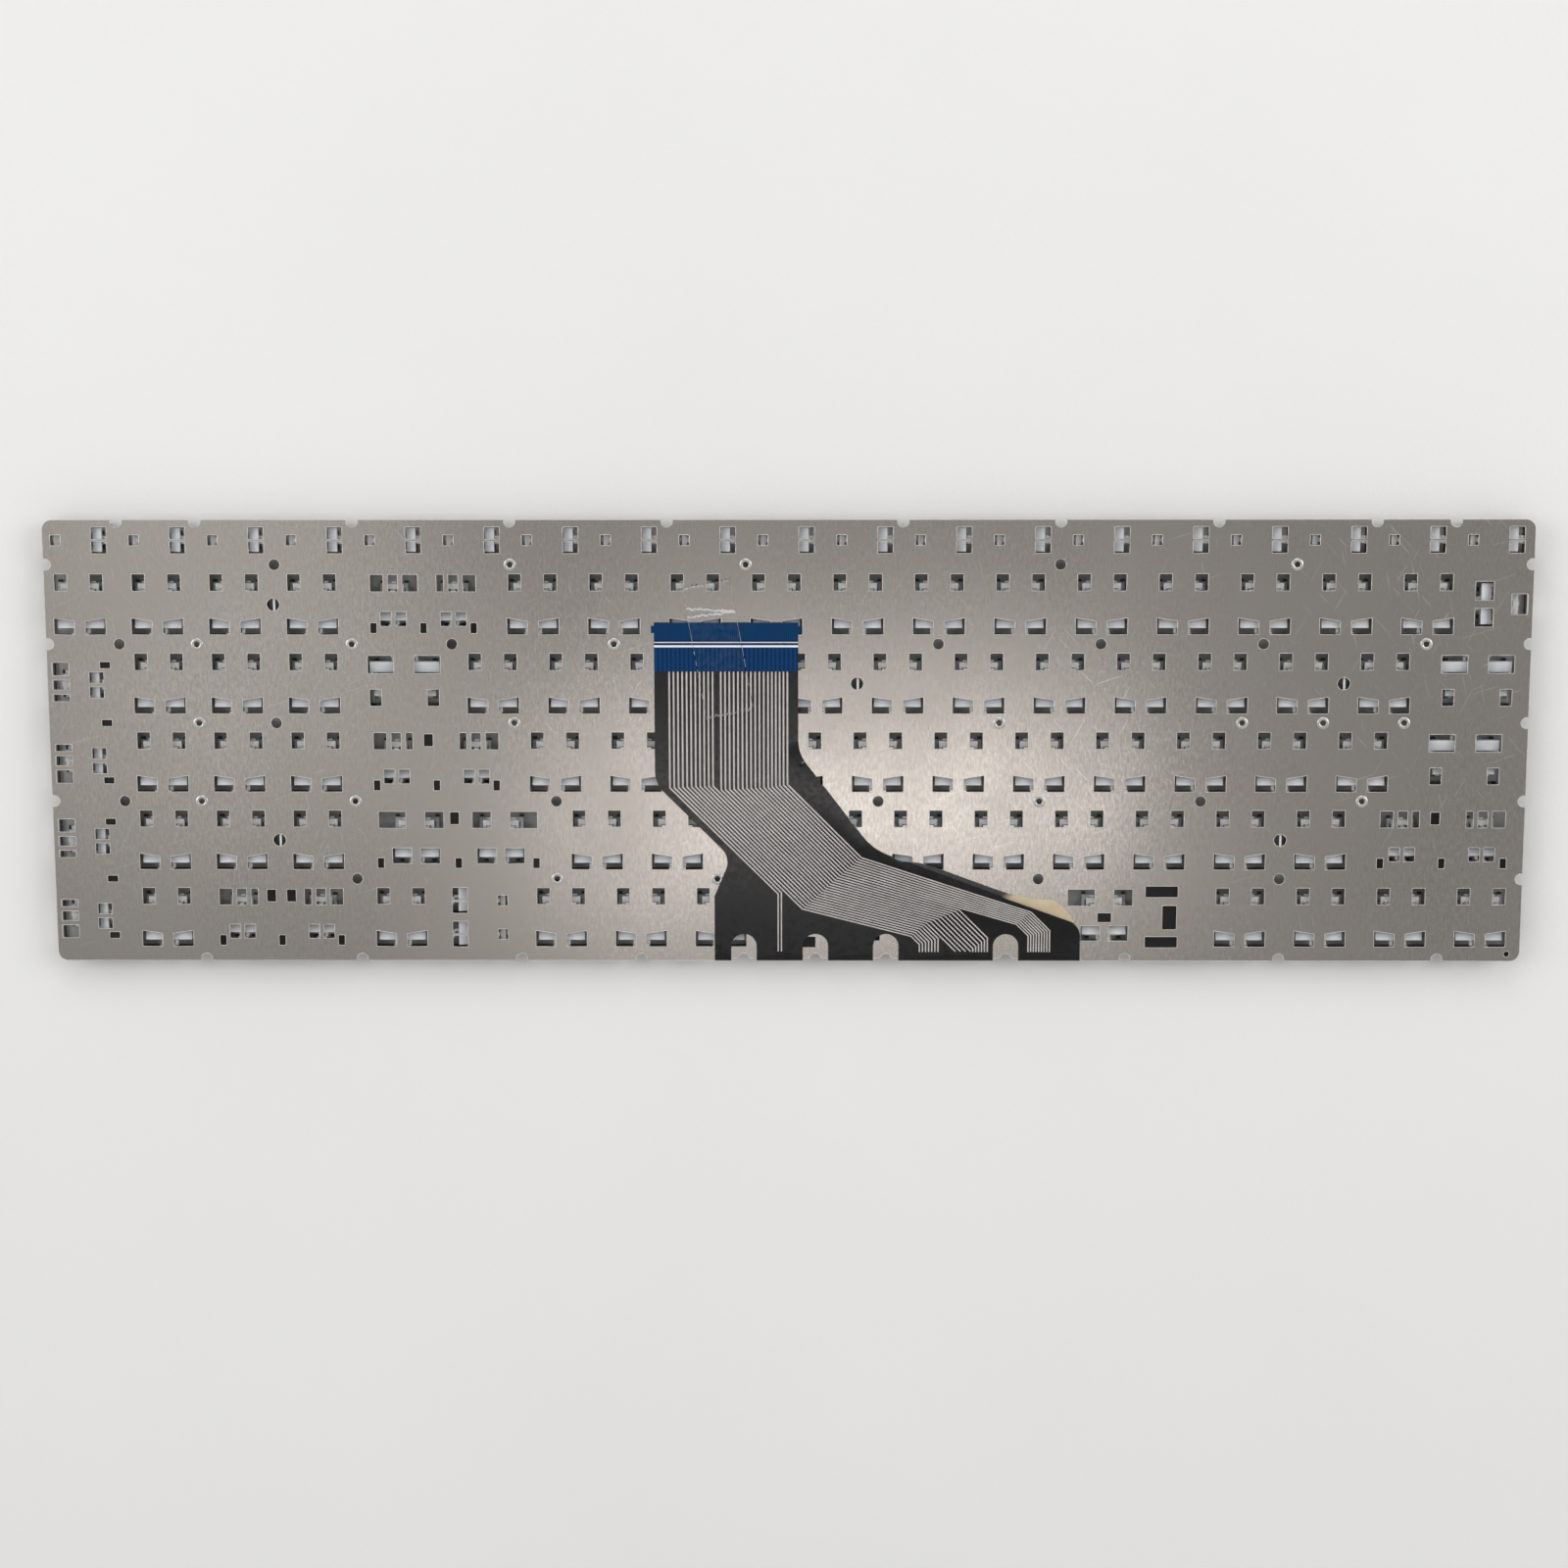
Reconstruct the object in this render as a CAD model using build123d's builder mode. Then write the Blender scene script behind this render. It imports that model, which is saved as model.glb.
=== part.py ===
from build123d import *
import os
from dataclasses import dataclass
from math import hypot, radians, tan

# A full-size laptop keyboard lying keys down, in millimetres.
# X runs along the key rows, Y towards the function row, Z up out of the metal back plate.
# The origin is in the middle of the outline, level with the touch faces of the keys.

# Key field
key_pitch = 18.85
row_pitch = 18.5
pad_pitch = 18.05
key_gap = 3.2
grave_gap = 1.4
block_gap = 0.8
function_depth = 11.3
main_units = 14.48
left_margin = 0.6
right_margin = 1.65
top_margin = 0.65
bottom_margin = 2.75

# Widths of the first key of each main row, in key pitches
backspace_units = 1.697
backslash_units = 1.193
enter_units = 1.951
right_shift_units = 2.458

# Keycaps
cap_face = 0.8
cap_height = 1.9
cap_wall = 0.45
cap_taper = 6
cap_corner = 1.2
half_key_gap = 0.9
travel = 1.5
travel_room = 0.1

# Scissor hinges, plate hooks and rubber domes
frame_thickness = 0.6
frame_room = 0.12
frame_bar = 1.2
frame_steepest = 0.25
lip_room = 0.2
slot_bar_share = 0.6
post_height = 0.8
post_width = 0.9
post_depth = 0.5
fit_room = 0.15
hook_thickness = 0.4
hook_lip = 0.25
pin_hook_width = 1.0
slot_hook_width = 0.7
pin_hook_reach = 2.2
slot_hook_reach = 1.85
hook_bend = 0.1
dome_radius = 2.75
dome_flange = 0.35
dome_skin = 0.3
dome_neck = 0.55
dome_crown = 0.6
dome_room = 0.25
wire_size = 0.7
wire_offset = 6.2
wire_window_width = 1.6
wire_window_depth = 2.5
wire_window_line = -5.5
hook_window_width = 2.2
hook_window_depth = 3.0
hook_window_line = 5.2
middle_window_width = 3.3
middle_window_depth = 2.3
guide_width = 7.7
guide_depth = 2.7
guide_lines = (-5.9, 6.2)
side_guide_width = 3.4
side_guide_depth = 5.8
side_guide_shift = 1.9

# Circuit sheets and back plate
sheet_thickness = 0.1
sheet_inset = 0.8
sheet_window_room = 0.15
contact_radius = 1.6
glue_line = 0.15
plate_thickness = 0.4
plate_corner = 2.3
stake_radius = 0.75
post_hole_radius = 1.3
locating_radius = 1.5
corner_hole_radius = 0.7
corner_hole_inset = 3.1
corner_hole_height = 1.7
sheet_hole_room = 0.4
notch_radius = 1.35
notch_depth = 0.4

# Connector tail, stiffener and holding tape
tail_units = 4.42
tail_width = 86.1
tail_strip_width = 33.5
tail_strip_offset = 13.8
tail_length = 80.2
tail_left_height = 15.5
tail_shoulder_shift = 3.9
tail_shoulder_height = 24.7
tail_shoulder_round = 4.5
tail_bend_height = 42.4
tail_bend_round = 7.0
tail_neck_height = 49.5
tail_neck_round = 9.0
tail_slope_shift = 37.3
tail_slope_height = 26.5
tail_slope_round = 14.0
tail_right_height = 8.65
tail_corner_round = 4.0
cutout_radius = 3.0
cutout_height = 6.5
stiffener_length = 11.4
stiffener_thickness = 0.2
stiffener_ear = 0.7
stiffener_ear_depth = 1.6
tape_width = 11.3
tape_thickness = 0.05
tape_turn = 10.2
tape_on_plate = 7.9
tape_on_tail = 8.6
tape_offset = 0.3
tape_slope = 1.4

# Heights, from the touch faces up to the back
cap_underside = cap_face
lip_bottom = cap_underside + travel + travel_room
lip_top = lip_bottom + hook_lip
frame_low = cap_underside + frame_room + frame_thickness / 2
frame_high = lip_top + lip_room + frame_thickness / 2 + frame_bar * frame_steepest
sheet_bottom = frame_high + frame_thickness / 2 + frame_room
spacer_bottom = sheet_bottom + sheet_thickness
tail_sheet_bottom = spacer_bottom + sheet_thickness
tail_sheet_top = tail_sheet_bottom + sheet_thickness
plate_bottom = tail_sheet_top + glue_line
plate_top = plate_bottom + plate_thickness
tail_bottom = plate_top + glue_line
tail_top = tail_bottom + sheet_thickness
stiffener_top = tail_top + stiffener_thickness

# Places across the plate, measured from its left and bottom edges
pad_left = left_margin - key_gap / 2
main_left = pad_left + 4 * pad_pitch + block_gap
main_right = main_left + main_units * key_pitch
plate_width = main_right - key_gap / 2 + right_margin
rows_bottom = bottom_margin - key_gap / 2
rows_top = rows_bottom + 5 * row_pitch
plate_depth = rows_top + function_depth - key_gap / 2 + top_margin
function_pitch = (main_right - pad_left) / 19
tail_left = main_left + tail_units * key_pitch


def px(x):
    return x - plate_width / 2


def py(y):
    return y - plate_depth / 2


def row_edge(row):
    """Height of the lower edge of a row, counted up from the space bar row."""
    return rows_bottom + row * row_pitch


def row_middle(row):
    return row_edge(row) + row_pitch / 2


# One kind of scissor hinge: the two lines of windows that hold it, and its two frames.
# Windows are (offset, width) along their line; the slots lie on the side of minus Y.
@dataclass
class HingeKind:
    pins: list
    pin_line: float
    pin_depth: float
    slots: list
    slot_line: float
    slot_depth: float
    slot_slope: float
    outer: float
    inner: float
    arm: float
    reach: float

    def pin_bar(self):
        """Edges of the inner frame's bar, which turns in the pin hooks."""
        start = self.pin_line - self.pin_depth / 2 + hook_thickness + fit_room
        return start, start + frame_bar

    def slot_bar(self):
        """Edges of the outer frame's bar, which slides under the slots."""
        start = -self.slot_line + self.slot_depth / 2 - fit_room
        return start - slot_bar_share * self.slot_depth, start

    def pin_hooks(self):
        """Offsets of the pin hooks, which stand between the arms of the inner frame."""
        found = []
        for x, width in self.pins:
            inner_edge = abs(x) - width / 2
            if inner_edge < 0:
                found.append(x)
            elif inner_edge + pin_hook_width + fit_room <= self.inner - self.arm:
                middle = inner_edge + pin_hook_width / 2
                found.append(middle if x > 0 else -middle)
        return found

    def slot_hooks(self):
        found = []
        for x, width in self.slots:
            middle = abs(x) - width / 2 + slot_hook_width / 2
            found.append(middle if x > 0 else -middle)
        return found


def both_sides(offset, width):
    return [(-offset, width), (offset, width)]


full = HingeKind(both_sides(4.15, 3.05), 5.1, 4.0, both_sides(3.65, 4.8), 5.1, 3.9,
                 0.75, 5.45, 4.5, 0.7, 4.9)
broad = HingeKind(both_sides(6.72, 2.8), 3.3, 4.0, both_sides(5.43, 6.1), 4.5, 4.2,
                  0.0, 8.15, 7.2, 0.7, 4.9)
upright = HingeKind([(0, 4.8)], 4.4, 3.8, both_sides(3.1, 4.4), 3.8, 4.3,
                    0.0, 4.75, 3.6, 0.9, 4.25)
half = HingeKind([(0, 2.5)], 5.1, 2.4, both_sides(1.65, 2.9), 5.0, 3.6,
                 0.0, 2.75, 2.05, 0.55, 4.9)
twin = HingeKind([(-3.75, 3.1), (0, 2.3), (3.05, 1.7)], 4.95, 4.0,
                 both_sides(1.75, 2.6), 3.4, 3.4, 0.0, 3.2, 2.4, 0.6, 4.6)
twin_mirrored = HingeKind([(-3.05, 1.7), (0, 2.3), (3.75, 3.1)], 4.95, 4.0,
                          both_sides(1.75, 2.6), 3.4, 3.4, 0.0, 3.2, 2.4, 0.6, 4.6)
twin_joined = HingeKind([(-3.75, 3.1), (0, 2.3), (4.0, 3.6)], 4.95, 4.0,
                        both_sides(1.75, 2.6), 3.4, 3.4, 0.0, 3.2, 2.4, 0.6, 4.6)
wide = HingeKind([(-5.5, 6.4), (4.4, 4.4)], 4.8, 4.0, both_sides(3.3, 4.6), 3.75, 3.7,
                 0.0, 5.15, 4.2, 0.7, 4.9)
wide_mirrored = HingeKind([(-4.4, 4.4), (5.5, 6.4)], 4.8, 4.0, both_sides(3.3, 4.6), 3.75, 3.7,
                          0.0, 5.15, 4.2, 0.7, 4.9)
kinds = [full, broad, upright, half, twin, twin_mirrored, twin_joined, wide, wide_mirrored]


# One hinge standing on the plate: its kind, its middle and its turn in degrees.
@dataclass
class Hinge:
    kind: HingeKind
    x: float
    y: float
    turn: float = 0

    def place(self):
        return Location((self.x, self.y), self.turn)

    def plane(self, height):
        return Plane((self.x, self.y, height)).rotated((0, 0, self.turn))


# One key: its middle, its cap and its hinges. wire is half the span of its levelling wire, and
# hook_windows are the offsets of the extra windows that the wire's hooks are bent from.
@dataclass
class Key:
    name: str
    x: float
    y: float
    width: float
    depth: float
    hinges: list
    wire: float = 0
    turn: float = 0
    hook_windows: tuple = ()

    def plane(self, height):
        return Plane((self.x, self.y, height)).rotated((0, 0, self.turn))


def plain_key(name, x, y, cell=None, kind=full, turn=0, gap=key_gap):
    """A key one row deep with one hinge in its middle, between x and the end of its cell."""
    width = cell or key_pitch
    middle = px(x + width / 2)
    hinges = [Hinge(kind, middle, py(y), turn)]
    return Key(name, middle, py(y), width - gap, row_pitch - key_gap, hinges)


def half_key(name, x, y, cell, depth, turn):
    middle = px(x + cell / 2)
    return Key(name, middle, py(y), cell - key_gap, depth, [Hinge(half, middle, py(y), turn)])


def long_key(name, x, y, cell, spread, wire, kind_pair, hook_windows=()):
    """A wide key held by two hinges and kept level by a wire."""
    middle = px(x + cell / 2)
    hinges = [Hinge(kind_pair[0], middle - spread, py(y)), Hinge(kind_pair[1], middle + spread, py(y))]
    return Key(name, middle, py(y), cell - key_gap, row_pitch - key_gap, hinges, wire, 0, hook_windows)


def tall_key(name, row):
    """A number pad key two rows tall, whose hinges and wire are turned a quarter."""
    middle = px(pad_left + pad_pitch / 2)
    height = py(row_edge(row + 1))
    spread = row_pitch * 0.483
    hinges = [Hinge(twin, middle, height - spread, 90), Hinge(twin_mirrored, middle, height + spread, 90)]
    return Key(name, middle, height, pad_pitch - key_gap, 2 * row_pitch - key_gap, hinges,
               spread + 4.65, 90)


def run_of_keys(names, x, row):
    """Keys of one pitch side by side, from x towards the right."""
    return [plain_key(name, x + i * key_pitch, row_middle(row)) for i, name in enumerate(names)]


def pad_keys(names, column, row):
    found = []
    for i, name in enumerate(names):
        x = pad_left + (column + i) * pad_pitch
        found.append(plain_key(name, x, row_middle(row), pad_pitch))
    return found


# The rows, named from the left as seen from the back, so they read from the right of the keyboard.
number_names = ["equals", "hyphen", "0", "9", "8", "7", "6", "5", "4", "3", "2", "1"]
upper_names = ["right_bracket", "left_bracket", "p", "o", "i", "u", "y", "t", "r", "e", "w", "q"]
home_names = ["quote", "semicolon", "l", "k", "j", "h", "g", "f", "d", "s", "a"]
lower_names = ["slash", "period", "comma", "m", "n", "b", "v", "c", "x", "z"]
number_left = main_left + backspace_units * key_pitch
upper_left = main_left + backslash_units * key_pitch
home_left = main_left + enter_units * key_pitch
lower_left = main_left + right_shift_units * key_pitch
number_right = number_left + len(number_names) * key_pitch
upper_right = upper_left + len(upper_names) * key_pitch
home_right = home_left + len(home_names) * key_pitch
lower_right = lower_left + len(lower_names) * key_pitch
space_left = main_left + 5 * key_pitch
space_right = main_right - 4 * key_pitch
twins = (twin, twin_mirrored)

keys = run_of_keys(number_names, number_left, 4) + run_of_keys(upper_names, upper_left, 3)
keys += run_of_keys(home_names, home_left, 2) + run_of_keys(lower_names, lower_left, 1)
keys += run_of_keys(["left_arrow", "right_control", "right_alt"], main_left + 2 * key_pitch, 0)
keys += run_of_keys(["left_alt", "system", "function", "left_control"], space_right, 0)
keys.append(plain_key("right_arrow", main_left, row_middle(0)))
keys.append(plain_key("grave", number_right, row_middle(4), main_right - number_right, upright, -90,
                      grave_gap))
keys.append(plain_key("tab", upper_right, row_middle(3), main_right - upper_right, broad, 180))
keys.append(plain_key("caps_lock", home_right, row_middle(2), main_right - home_right, broad, 180))
keys.append(plain_key("backslash", main_left, row_middle(3), upper_left - main_left, broad, 180))
keys.append(long_key("backspace", main_left, row_middle(4), number_left - main_left, 7.0, 11.65,
                     (twin_joined, twin_mirrored)))
keys.append(long_key("enter", main_left, row_middle(2), home_left - main_left, 9.35, 14.0, twins, (-1.8,)))
keys.append(long_key("left_shift", lower_right, row_middle(1), main_right - lower_right, 9.35, 14.4,
                     twins, (-1.8,)))
keys.append(long_key("right_shift", main_left, row_middle(1), lower_left - main_left, 9.95, 18.3,
                     (wide, wide_mirrored), (-0.8,)))
keys.append(long_key("space", space_left, row_middle(0), space_right - space_left, 29.2, 42.6,
                     (wide_mirrored, wide)))
half_depth = (row_pitch - key_gap - half_key_gap) / 2
half_offset = (half_depth + half_key_gap) / 2
arrow_left = main_left + key_pitch
keys.append(half_key("up_arrow", arrow_left, row_middle(0) + half_offset, key_pitch, half_depth, -90))
keys.append(half_key("down_arrow", arrow_left, row_middle(0) - half_offset, key_pitch, half_depth, -90))
typing_keys = list(keys)

number_pad = pad_keys(["minus", "times", "divide", "num_lock"], 0, 4)
number_pad += pad_keys(["pad_9", "pad_8", "pad_7"], 1, 3) + pad_keys(["pad_6", "pad_5", "pad_4"], 1, 2)
number_pad += pad_keys(["pad_3", "pad_2", "pad_1"], 1, 1) + pad_keys(["pad_point"], 1, 0)
number_pad.append(long_key("pad_0", pad_left + 2 * pad_pitch, row_middle(0), 2 * pad_pitch,
                           9.35, 14.0, twins, (-2.3, 2.4)))
number_pad.append(tall_key("pad_plus", 2))
number_pad.append(tall_key("pad_enter", 0))

function_y = rows_top + function_depth / 2
function_row = []
for i in range(19):
    left = pad_left + i * function_pitch
    function_row.append(half_key(f"function_{i}", left, function_y, function_pitch,
                                 function_depth - key_gap, 90))

all_keys = typing_keys + number_pad + function_row
all_hinges = [hinge for key in all_keys for hinge in key.hinges]
wired_keys = [key for key in all_keys if key.wire]
space_key = next(key for key in keys if key.name == "space")

# Round holes stand where key cells meet; they are found from the edge of a key in the row.
pad_edges = [pad_left + i * pad_pitch for i in range(5)]
function_edges = [pad_left + i * function_pitch for i in range(20)]
upper_edges = [upper_left + i * key_pitch for i in range(13)]
home_edges = [home_left + i * key_pitch for i in range(12)]
lower_edges = [lower_left + i * key_pitch for i in range(11)]


def along(edges, picks, height):
    return [(px(edges[i]), py(height)) for i in picks]


stake_points = along(function_edges, (6, 9, 16), row_edge(5)) + along(upper_edges, (2, 12), row_edge(4))
stake_points += along(home_edges, (0, 6, 9, 10, 11), row_edge(3)) + along(lower_edges, (6, 10), row_edge(2))
stake_points += along(lower_edges, (0, 2), row_edge(1)) + along(pad_edges, (2,), row_edge(3))
stake_points += along(pad_edges, (2, 4), row_edge(4)) + along(pad_edges, (2, 4), row_edge(2))
post_points = along(function_edges, (3, 13), row_edge(5)) + along(upper_edges, (0, 6, 8, 10), row_edge(4))
post_points += along(lower_edges, (0, 4, 8), row_edge(2)) + along(lower_edges, (6, 9), row_edge(1))
post_points += along(pad_edges, (1,), row_edge(4)) + along(pad_edges, (3,), row_edge(3))
post_points += along(pad_edges, (1,), row_edge(2)) + along(pad_edges, (4,), row_edge(1))
locating_points = along(pad_edges, (3,), row_middle(4)) + along(pad_edges, (3,), row_middle(1))
locating_points += along(upper_edges, (5, 11), row_middle(3)) + along(lower_edges, (9,), row_middle(1))

tail_notch_xs = [px(main_left + units * key_pitch) for units in (4.785, 5.68, 6.56, 8.06)]
bottom_xs = [px(main_left + units * key_pitch) for units in (0, 2, 3.5, 9.55, 11.47, 13.45)]
bottom_xs += [px(pad_edges[2])] + tail_notch_xs
top_xs = [px(function_edges[i]) for i in (1, 2, 4, 6, 8, 11, 13, 15, 17, 18)]
notch_points = [(x, py(notch_depth)) for x in bottom_xs]
notch_points += [(x, py(plate_depth - notch_depth)) for x in top_xs]
notch_points += [(px(notch_depth), py(row_edge(row))) for row in (2, 4, 5)]
notch_points += [(px(plate_width - notch_depth), py(row_edge(row))) for row in (1, 2, 3, 4, 5)]


def ring(points):
    """A closed outline through the points."""
    with BuildLine() as edge:
        Polyline(*points, close=True)
    return edge.wire()


def box_ring(left, right, low, high):
    return ring([(left, low), (right, low), (right, high), (left, high)])


def middle_ring(x, y, width, depth):
    """A box round its middle."""
    return box_ring(x - width / 2, x + width / 2, y - depth / 2, y + depth / 2)


def round_ring(point, radius):
    with BuildLine() as edge:
        CenterArc(point, radius, 0, 360)
    return edge.wire()


def slot_ring(x, width, kind):
    """One slot of a hinge, whose upper edge falls towards the middle of the key."""
    side = 1 if x > 0 else -1
    near = x - side * width / 2
    far = x + side * width / 2
    low = -kind.slot_line - kind.slot_depth / 2
    high = -kind.slot_line + kind.slot_depth / 2
    return ring([(near, low), (far, low), (far, high), (near, high - kind.slot_slope)])


def plate_windows():
    """The windows of all hinges and wires."""
    found = []
    for hinge in all_hinges:
        kind = hinge.kind
        low = kind.pin_line - kind.pin_depth / 2
        for x, width in kind.pins:
            found.append(hinge.place() * box_ring(x - width / 2, x + width / 2, low, low + kind.pin_depth))
        for x, width in kind.slots:
            found.append(hinge.place() * slot_ring(x, width, kind))
    for key in wired_keys:
        spot = Location((key.x, key.y), key.turn)
        if key is space_key:
            for side in (-1, 1):
                for line in guide_lines:
                    found.append(spot * middle_ring(side * key.wire, line, guide_width, guide_depth))
                x = side * (key.wire + side_guide_shift)
                found.append(spot * middle_ring(x, 0, side_guide_width, side_guide_depth))
            for hinge in key.hinges:
                found.append(hinge.place() * middle_ring(0, 0, middle_window_width, middle_window_depth))
        else:
            for x in key.hook_windows:
                found.append(spot * middle_ring(x, hook_window_line, hook_window_width, hook_window_depth))
            for x in (-key.wire, 0, key.wire):
                found.append(spot * middle_ring(x, wire_window_line, wire_window_width, wire_window_depth))
    return found


def sheet_windows():
    """Openings of the circuit sheets: one for a whole line of windows where the dome stays clear."""
    found = []
    for hinge in all_hinges:
        kind = hinge.kind
        lines = ((kind.pins, kind.pin_line, kind.pin_depth), (kind.slots, -kind.slot_line, kind.slot_depth))
        for windows, line, depth in lines:
            low = line - depth / 2 - sheet_window_room
            high = line + depth / 2 + sheet_window_room
            spans = [(x - width / 2, x + width / 2) for x, width in windows]
            if abs(line) - depth / 2 > dome_radius:
                spans = [(spans[0][0], spans[-1][1])]
            for left, right in spans:
                opening = box_ring(left - sheet_window_room, right + sheet_window_room, low, high)
                found.append(hinge.place() * opening)
    return found


def round_holes(room):
    """The round holes, grown by room."""
    found = [round_ring(point, stake_radius + room) for point in stake_points]
    found += [round_ring(point, post_hole_radius + room) for point in post_points]
    found += [round_ring(point, locating_radius + room) for point in locating_points]
    return found


def dome_size(key):
    """Radius of a key's dome, kept inside its scissor frames."""
    if len(key.hinges) > 1:
        return dome_radius
    kind = key.hinges[0].kind
    nearest_bar = min(kind.pin_bar()[0], -kind.slot_bar()[1])
    return min(dome_radius, kind.inner - kind.arm - dome_room, nearest_bar - dome_room)


def hook(width, reach):
    """A bent hook: a leg down from the plate and a lip that passes under the frame."""
    with BuildPart() as bent:
        with BuildSketch(Plane.YZ):
            with Locations((0, lip_bottom)):
                Rectangle(hook_thickness, plate_top - hook_bend - lip_bottom, align=Align.MIN)
                Rectangle(reach, hook_lip, align=Align.MIN)
        extrude(amount=width / 2, both=True)
    return bent.part


os.makedirs("parts", exist_ok=True)

# The stamped back plate: windows, round holes and edge notches, with hooks bent down out of it.
fold_inner = glue_line + plate_thickness / 2
fold_outer = fold_inner + sheet_thickness
fold_y = py(fold_outer)
tail_x = px(tail_left)
pin_hook = hook(pin_hook_width, pin_hook_reach)
slot_hook = hook(slot_hook_width, slot_hook_reach)
hooks = []
for hinge in all_hinges:
    kind = hinge.kind
    for x in kind.pin_hooks():
        hooks.append(hinge.place() * Location((x, kind.pin_line - kind.pin_depth / 2, 0)) * pin_hook)
    for x in kind.slot_hooks():
        hooks.append(hinge.place() * Location((x, -kind.slot_line - kind.slot_depth / 2, 0)) * slot_hook)

with BuildSketch() as plate_outline:
    RectangleRounded(plate_width, plate_depth, plate_corner)
    with Locations(*notch_points):
        Circle(notch_radius, mode=Mode.SUBTRACT)
    with Locations((tail_x + tail_width / 2, py(0))):
        Rectangle(tail_width + 2 * fit_room, 2 * (fold_outer + fit_room), mode=Mode.SUBTRACT)

# All windows are set into one face at once, which is far quicker than cutting them one by one.
corner_hole = round_ring((px(plate_width - corner_hole_inset), py(corner_hole_height)), corner_hole_radius)
plate_rings = plate_windows() + round_holes(0) + [corner_hole]
plate_face = Face(plate_outline.face().outer_wire(), plate_rings)
with BuildPart() as back_plate:
    extrude(to_extrude=plate_face.moved(Location((0, 0, plate_bottom))), amount=plate_thickness,
            dir=(0, 0, 1))
    add(hooks, clean=False)
back_plate.part.label = "back_plate"
export_step(back_plate.part, "parts/back_plate.step")

# The outline of the circuit sheets, a little inside the plate and clear of its edge notches.
with BuildSketch() as sheet_outline:
    Rectangle(plate_width - 2 * sheet_inset, plate_depth - 2 * sheet_inset)
    with Locations(*notch_points):
        Circle(notch_radius + sheet_hole_room, mode=Mode.SUBTRACT)
sheet_edge = sheet_outline.face().outer_wire()
sheet_rings = sheet_windows() + round_holes(sheet_hole_room)
sheet_face = Face(sheet_edge, sheet_rings)

# The circuit sheet beside the keys.
with BuildPart() as key_sheet:
    extrude(to_extrude=sheet_face.moved(Location((0, 0, sheet_bottom))), amount=sheet_thickness,
            dir=(0, 0, 1))
key_sheet.part.label = "key_side_sheet"
export_step(key_sheet.part, "parts/key_side_sheet.step")

# The spacer, open at the middle of each key so that the two circuits can meet there.
contacts = [round_ring((key.x, key.y), contact_radius * dome_size(key) / dome_radius) for key in all_keys]
spacer_face = Face(sheet_edge, sheet_rings + contacts)
with BuildPart() as spacer:
    extrude(to_extrude=spacer_face.moved(Location((0, 0, spacer_bottom))), amount=sheet_thickness,
            dir=(0, 0, 1))
spacer.part.label = "spacer_sheet"
export_step(spacer.part, "parts/spacer_sheet.step")

# The circuit sheet beside the plate, with the tail folded round the plate edge onto its back.
strip_left = tail_x - tail_strip_offset
strip_right = strip_left + tail_strip_width
tail_right = tail_x + tail_width
tail_end = py(tail_length)
shoulder = (tail_x + tail_shoulder_shift, py(tail_shoulder_height))
bend = (strip_left, py(tail_bend_height))
neck = (strip_right, py(tail_neck_height))
slope = (tail_x + tail_slope_shift, py(tail_slope_height))
corner = (tail_right, py(tail_right_height))
tail_rounds = ((shoulder, tail_shoulder_round), (bend, tail_bend_round), (neck, tail_neck_round),
               (slope, tail_slope_round), (corner, tail_corner_round))
with BuildSketch() as tail_outline:
    with BuildLine():
        Polyline((tail_x, fold_y), (tail_x, py(tail_left_height)), shoulder, bend,
                 (strip_left, tail_end), (strip_right, tail_end), neck, slope, corner,
                 (tail_right, fold_y), close=True)
    make_face()
    for point, radius in tail_rounds:
        fillet(tail_outline.vertices().sort_by_distance(point)[0], radius)
    with Locations(*[(x, py(cutout_height - cutout_radius)) for x in tail_notch_xs]):
        Circle(cutout_radius, mode=Mode.SUBTRACT)
    with Locations(*[(x, fold_y) for x in tail_notch_xs]):
        Rectangle(2 * cutout_radius, cutout_height - cutout_radius - fold_outer,
                  align=(Align.CENTER, Align.MIN), mode=Mode.SUBTRACT)
fold_starts = [tail_x] + [x + cutout_radius for x in tail_notch_xs]
fold_stops = [x - cutout_radius for x in tail_notch_xs] + [tail_right]
fold_height = plate_bottom + plate_thickness / 2
with BuildPart() as tail_sheet:
    extrude(to_extrude=sheet_face.moved(Location((0, 0, tail_sheet_bottom))), amount=sheet_thickness,
            dir=(0, 0, 1))
    with BuildSketch(Plane.XY.offset(tail_sheet_bottom)):
        with Locations((tail_x, fold_y)):
            Rectangle(tail_width, 2 * sheet_inset, align=Align.MIN)
        with Locations(*[(x, fold_y) for x in tail_notch_xs]):
            Rectangle(2 * cutout_radius, 4 * sheet_inset, mode=Mode.SUBTRACT)
    extrude(amount=sheet_thickness, clean=False)
    for start, stop in zip(fold_starts, fold_stops):
        with BuildSketch(Plane((start, fold_y, fold_height), x_dir=(0, 1, 0), z_dir=(1, 0, 0))):
            Circle(fold_outer)
            Circle(fold_inner, mode=Mode.SUBTRACT)
            Rectangle(2 * fold_outer, 2 * fold_outer, align=(Align.MIN, Align.CENTER), mode=Mode.SUBTRACT)
        extrude(amount=stop - start, clean=False)
    extrude(to_extrude=tail_outline.face().moved(Location((0, 0, tail_bottom))), amount=sheet_thickness,
            dir=(0, 0, 1), clean=False)
tail_sheet.part.label = "tail_sheet"
export_step(tail_sheet.part, "parts/tail_sheet.step")

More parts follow.
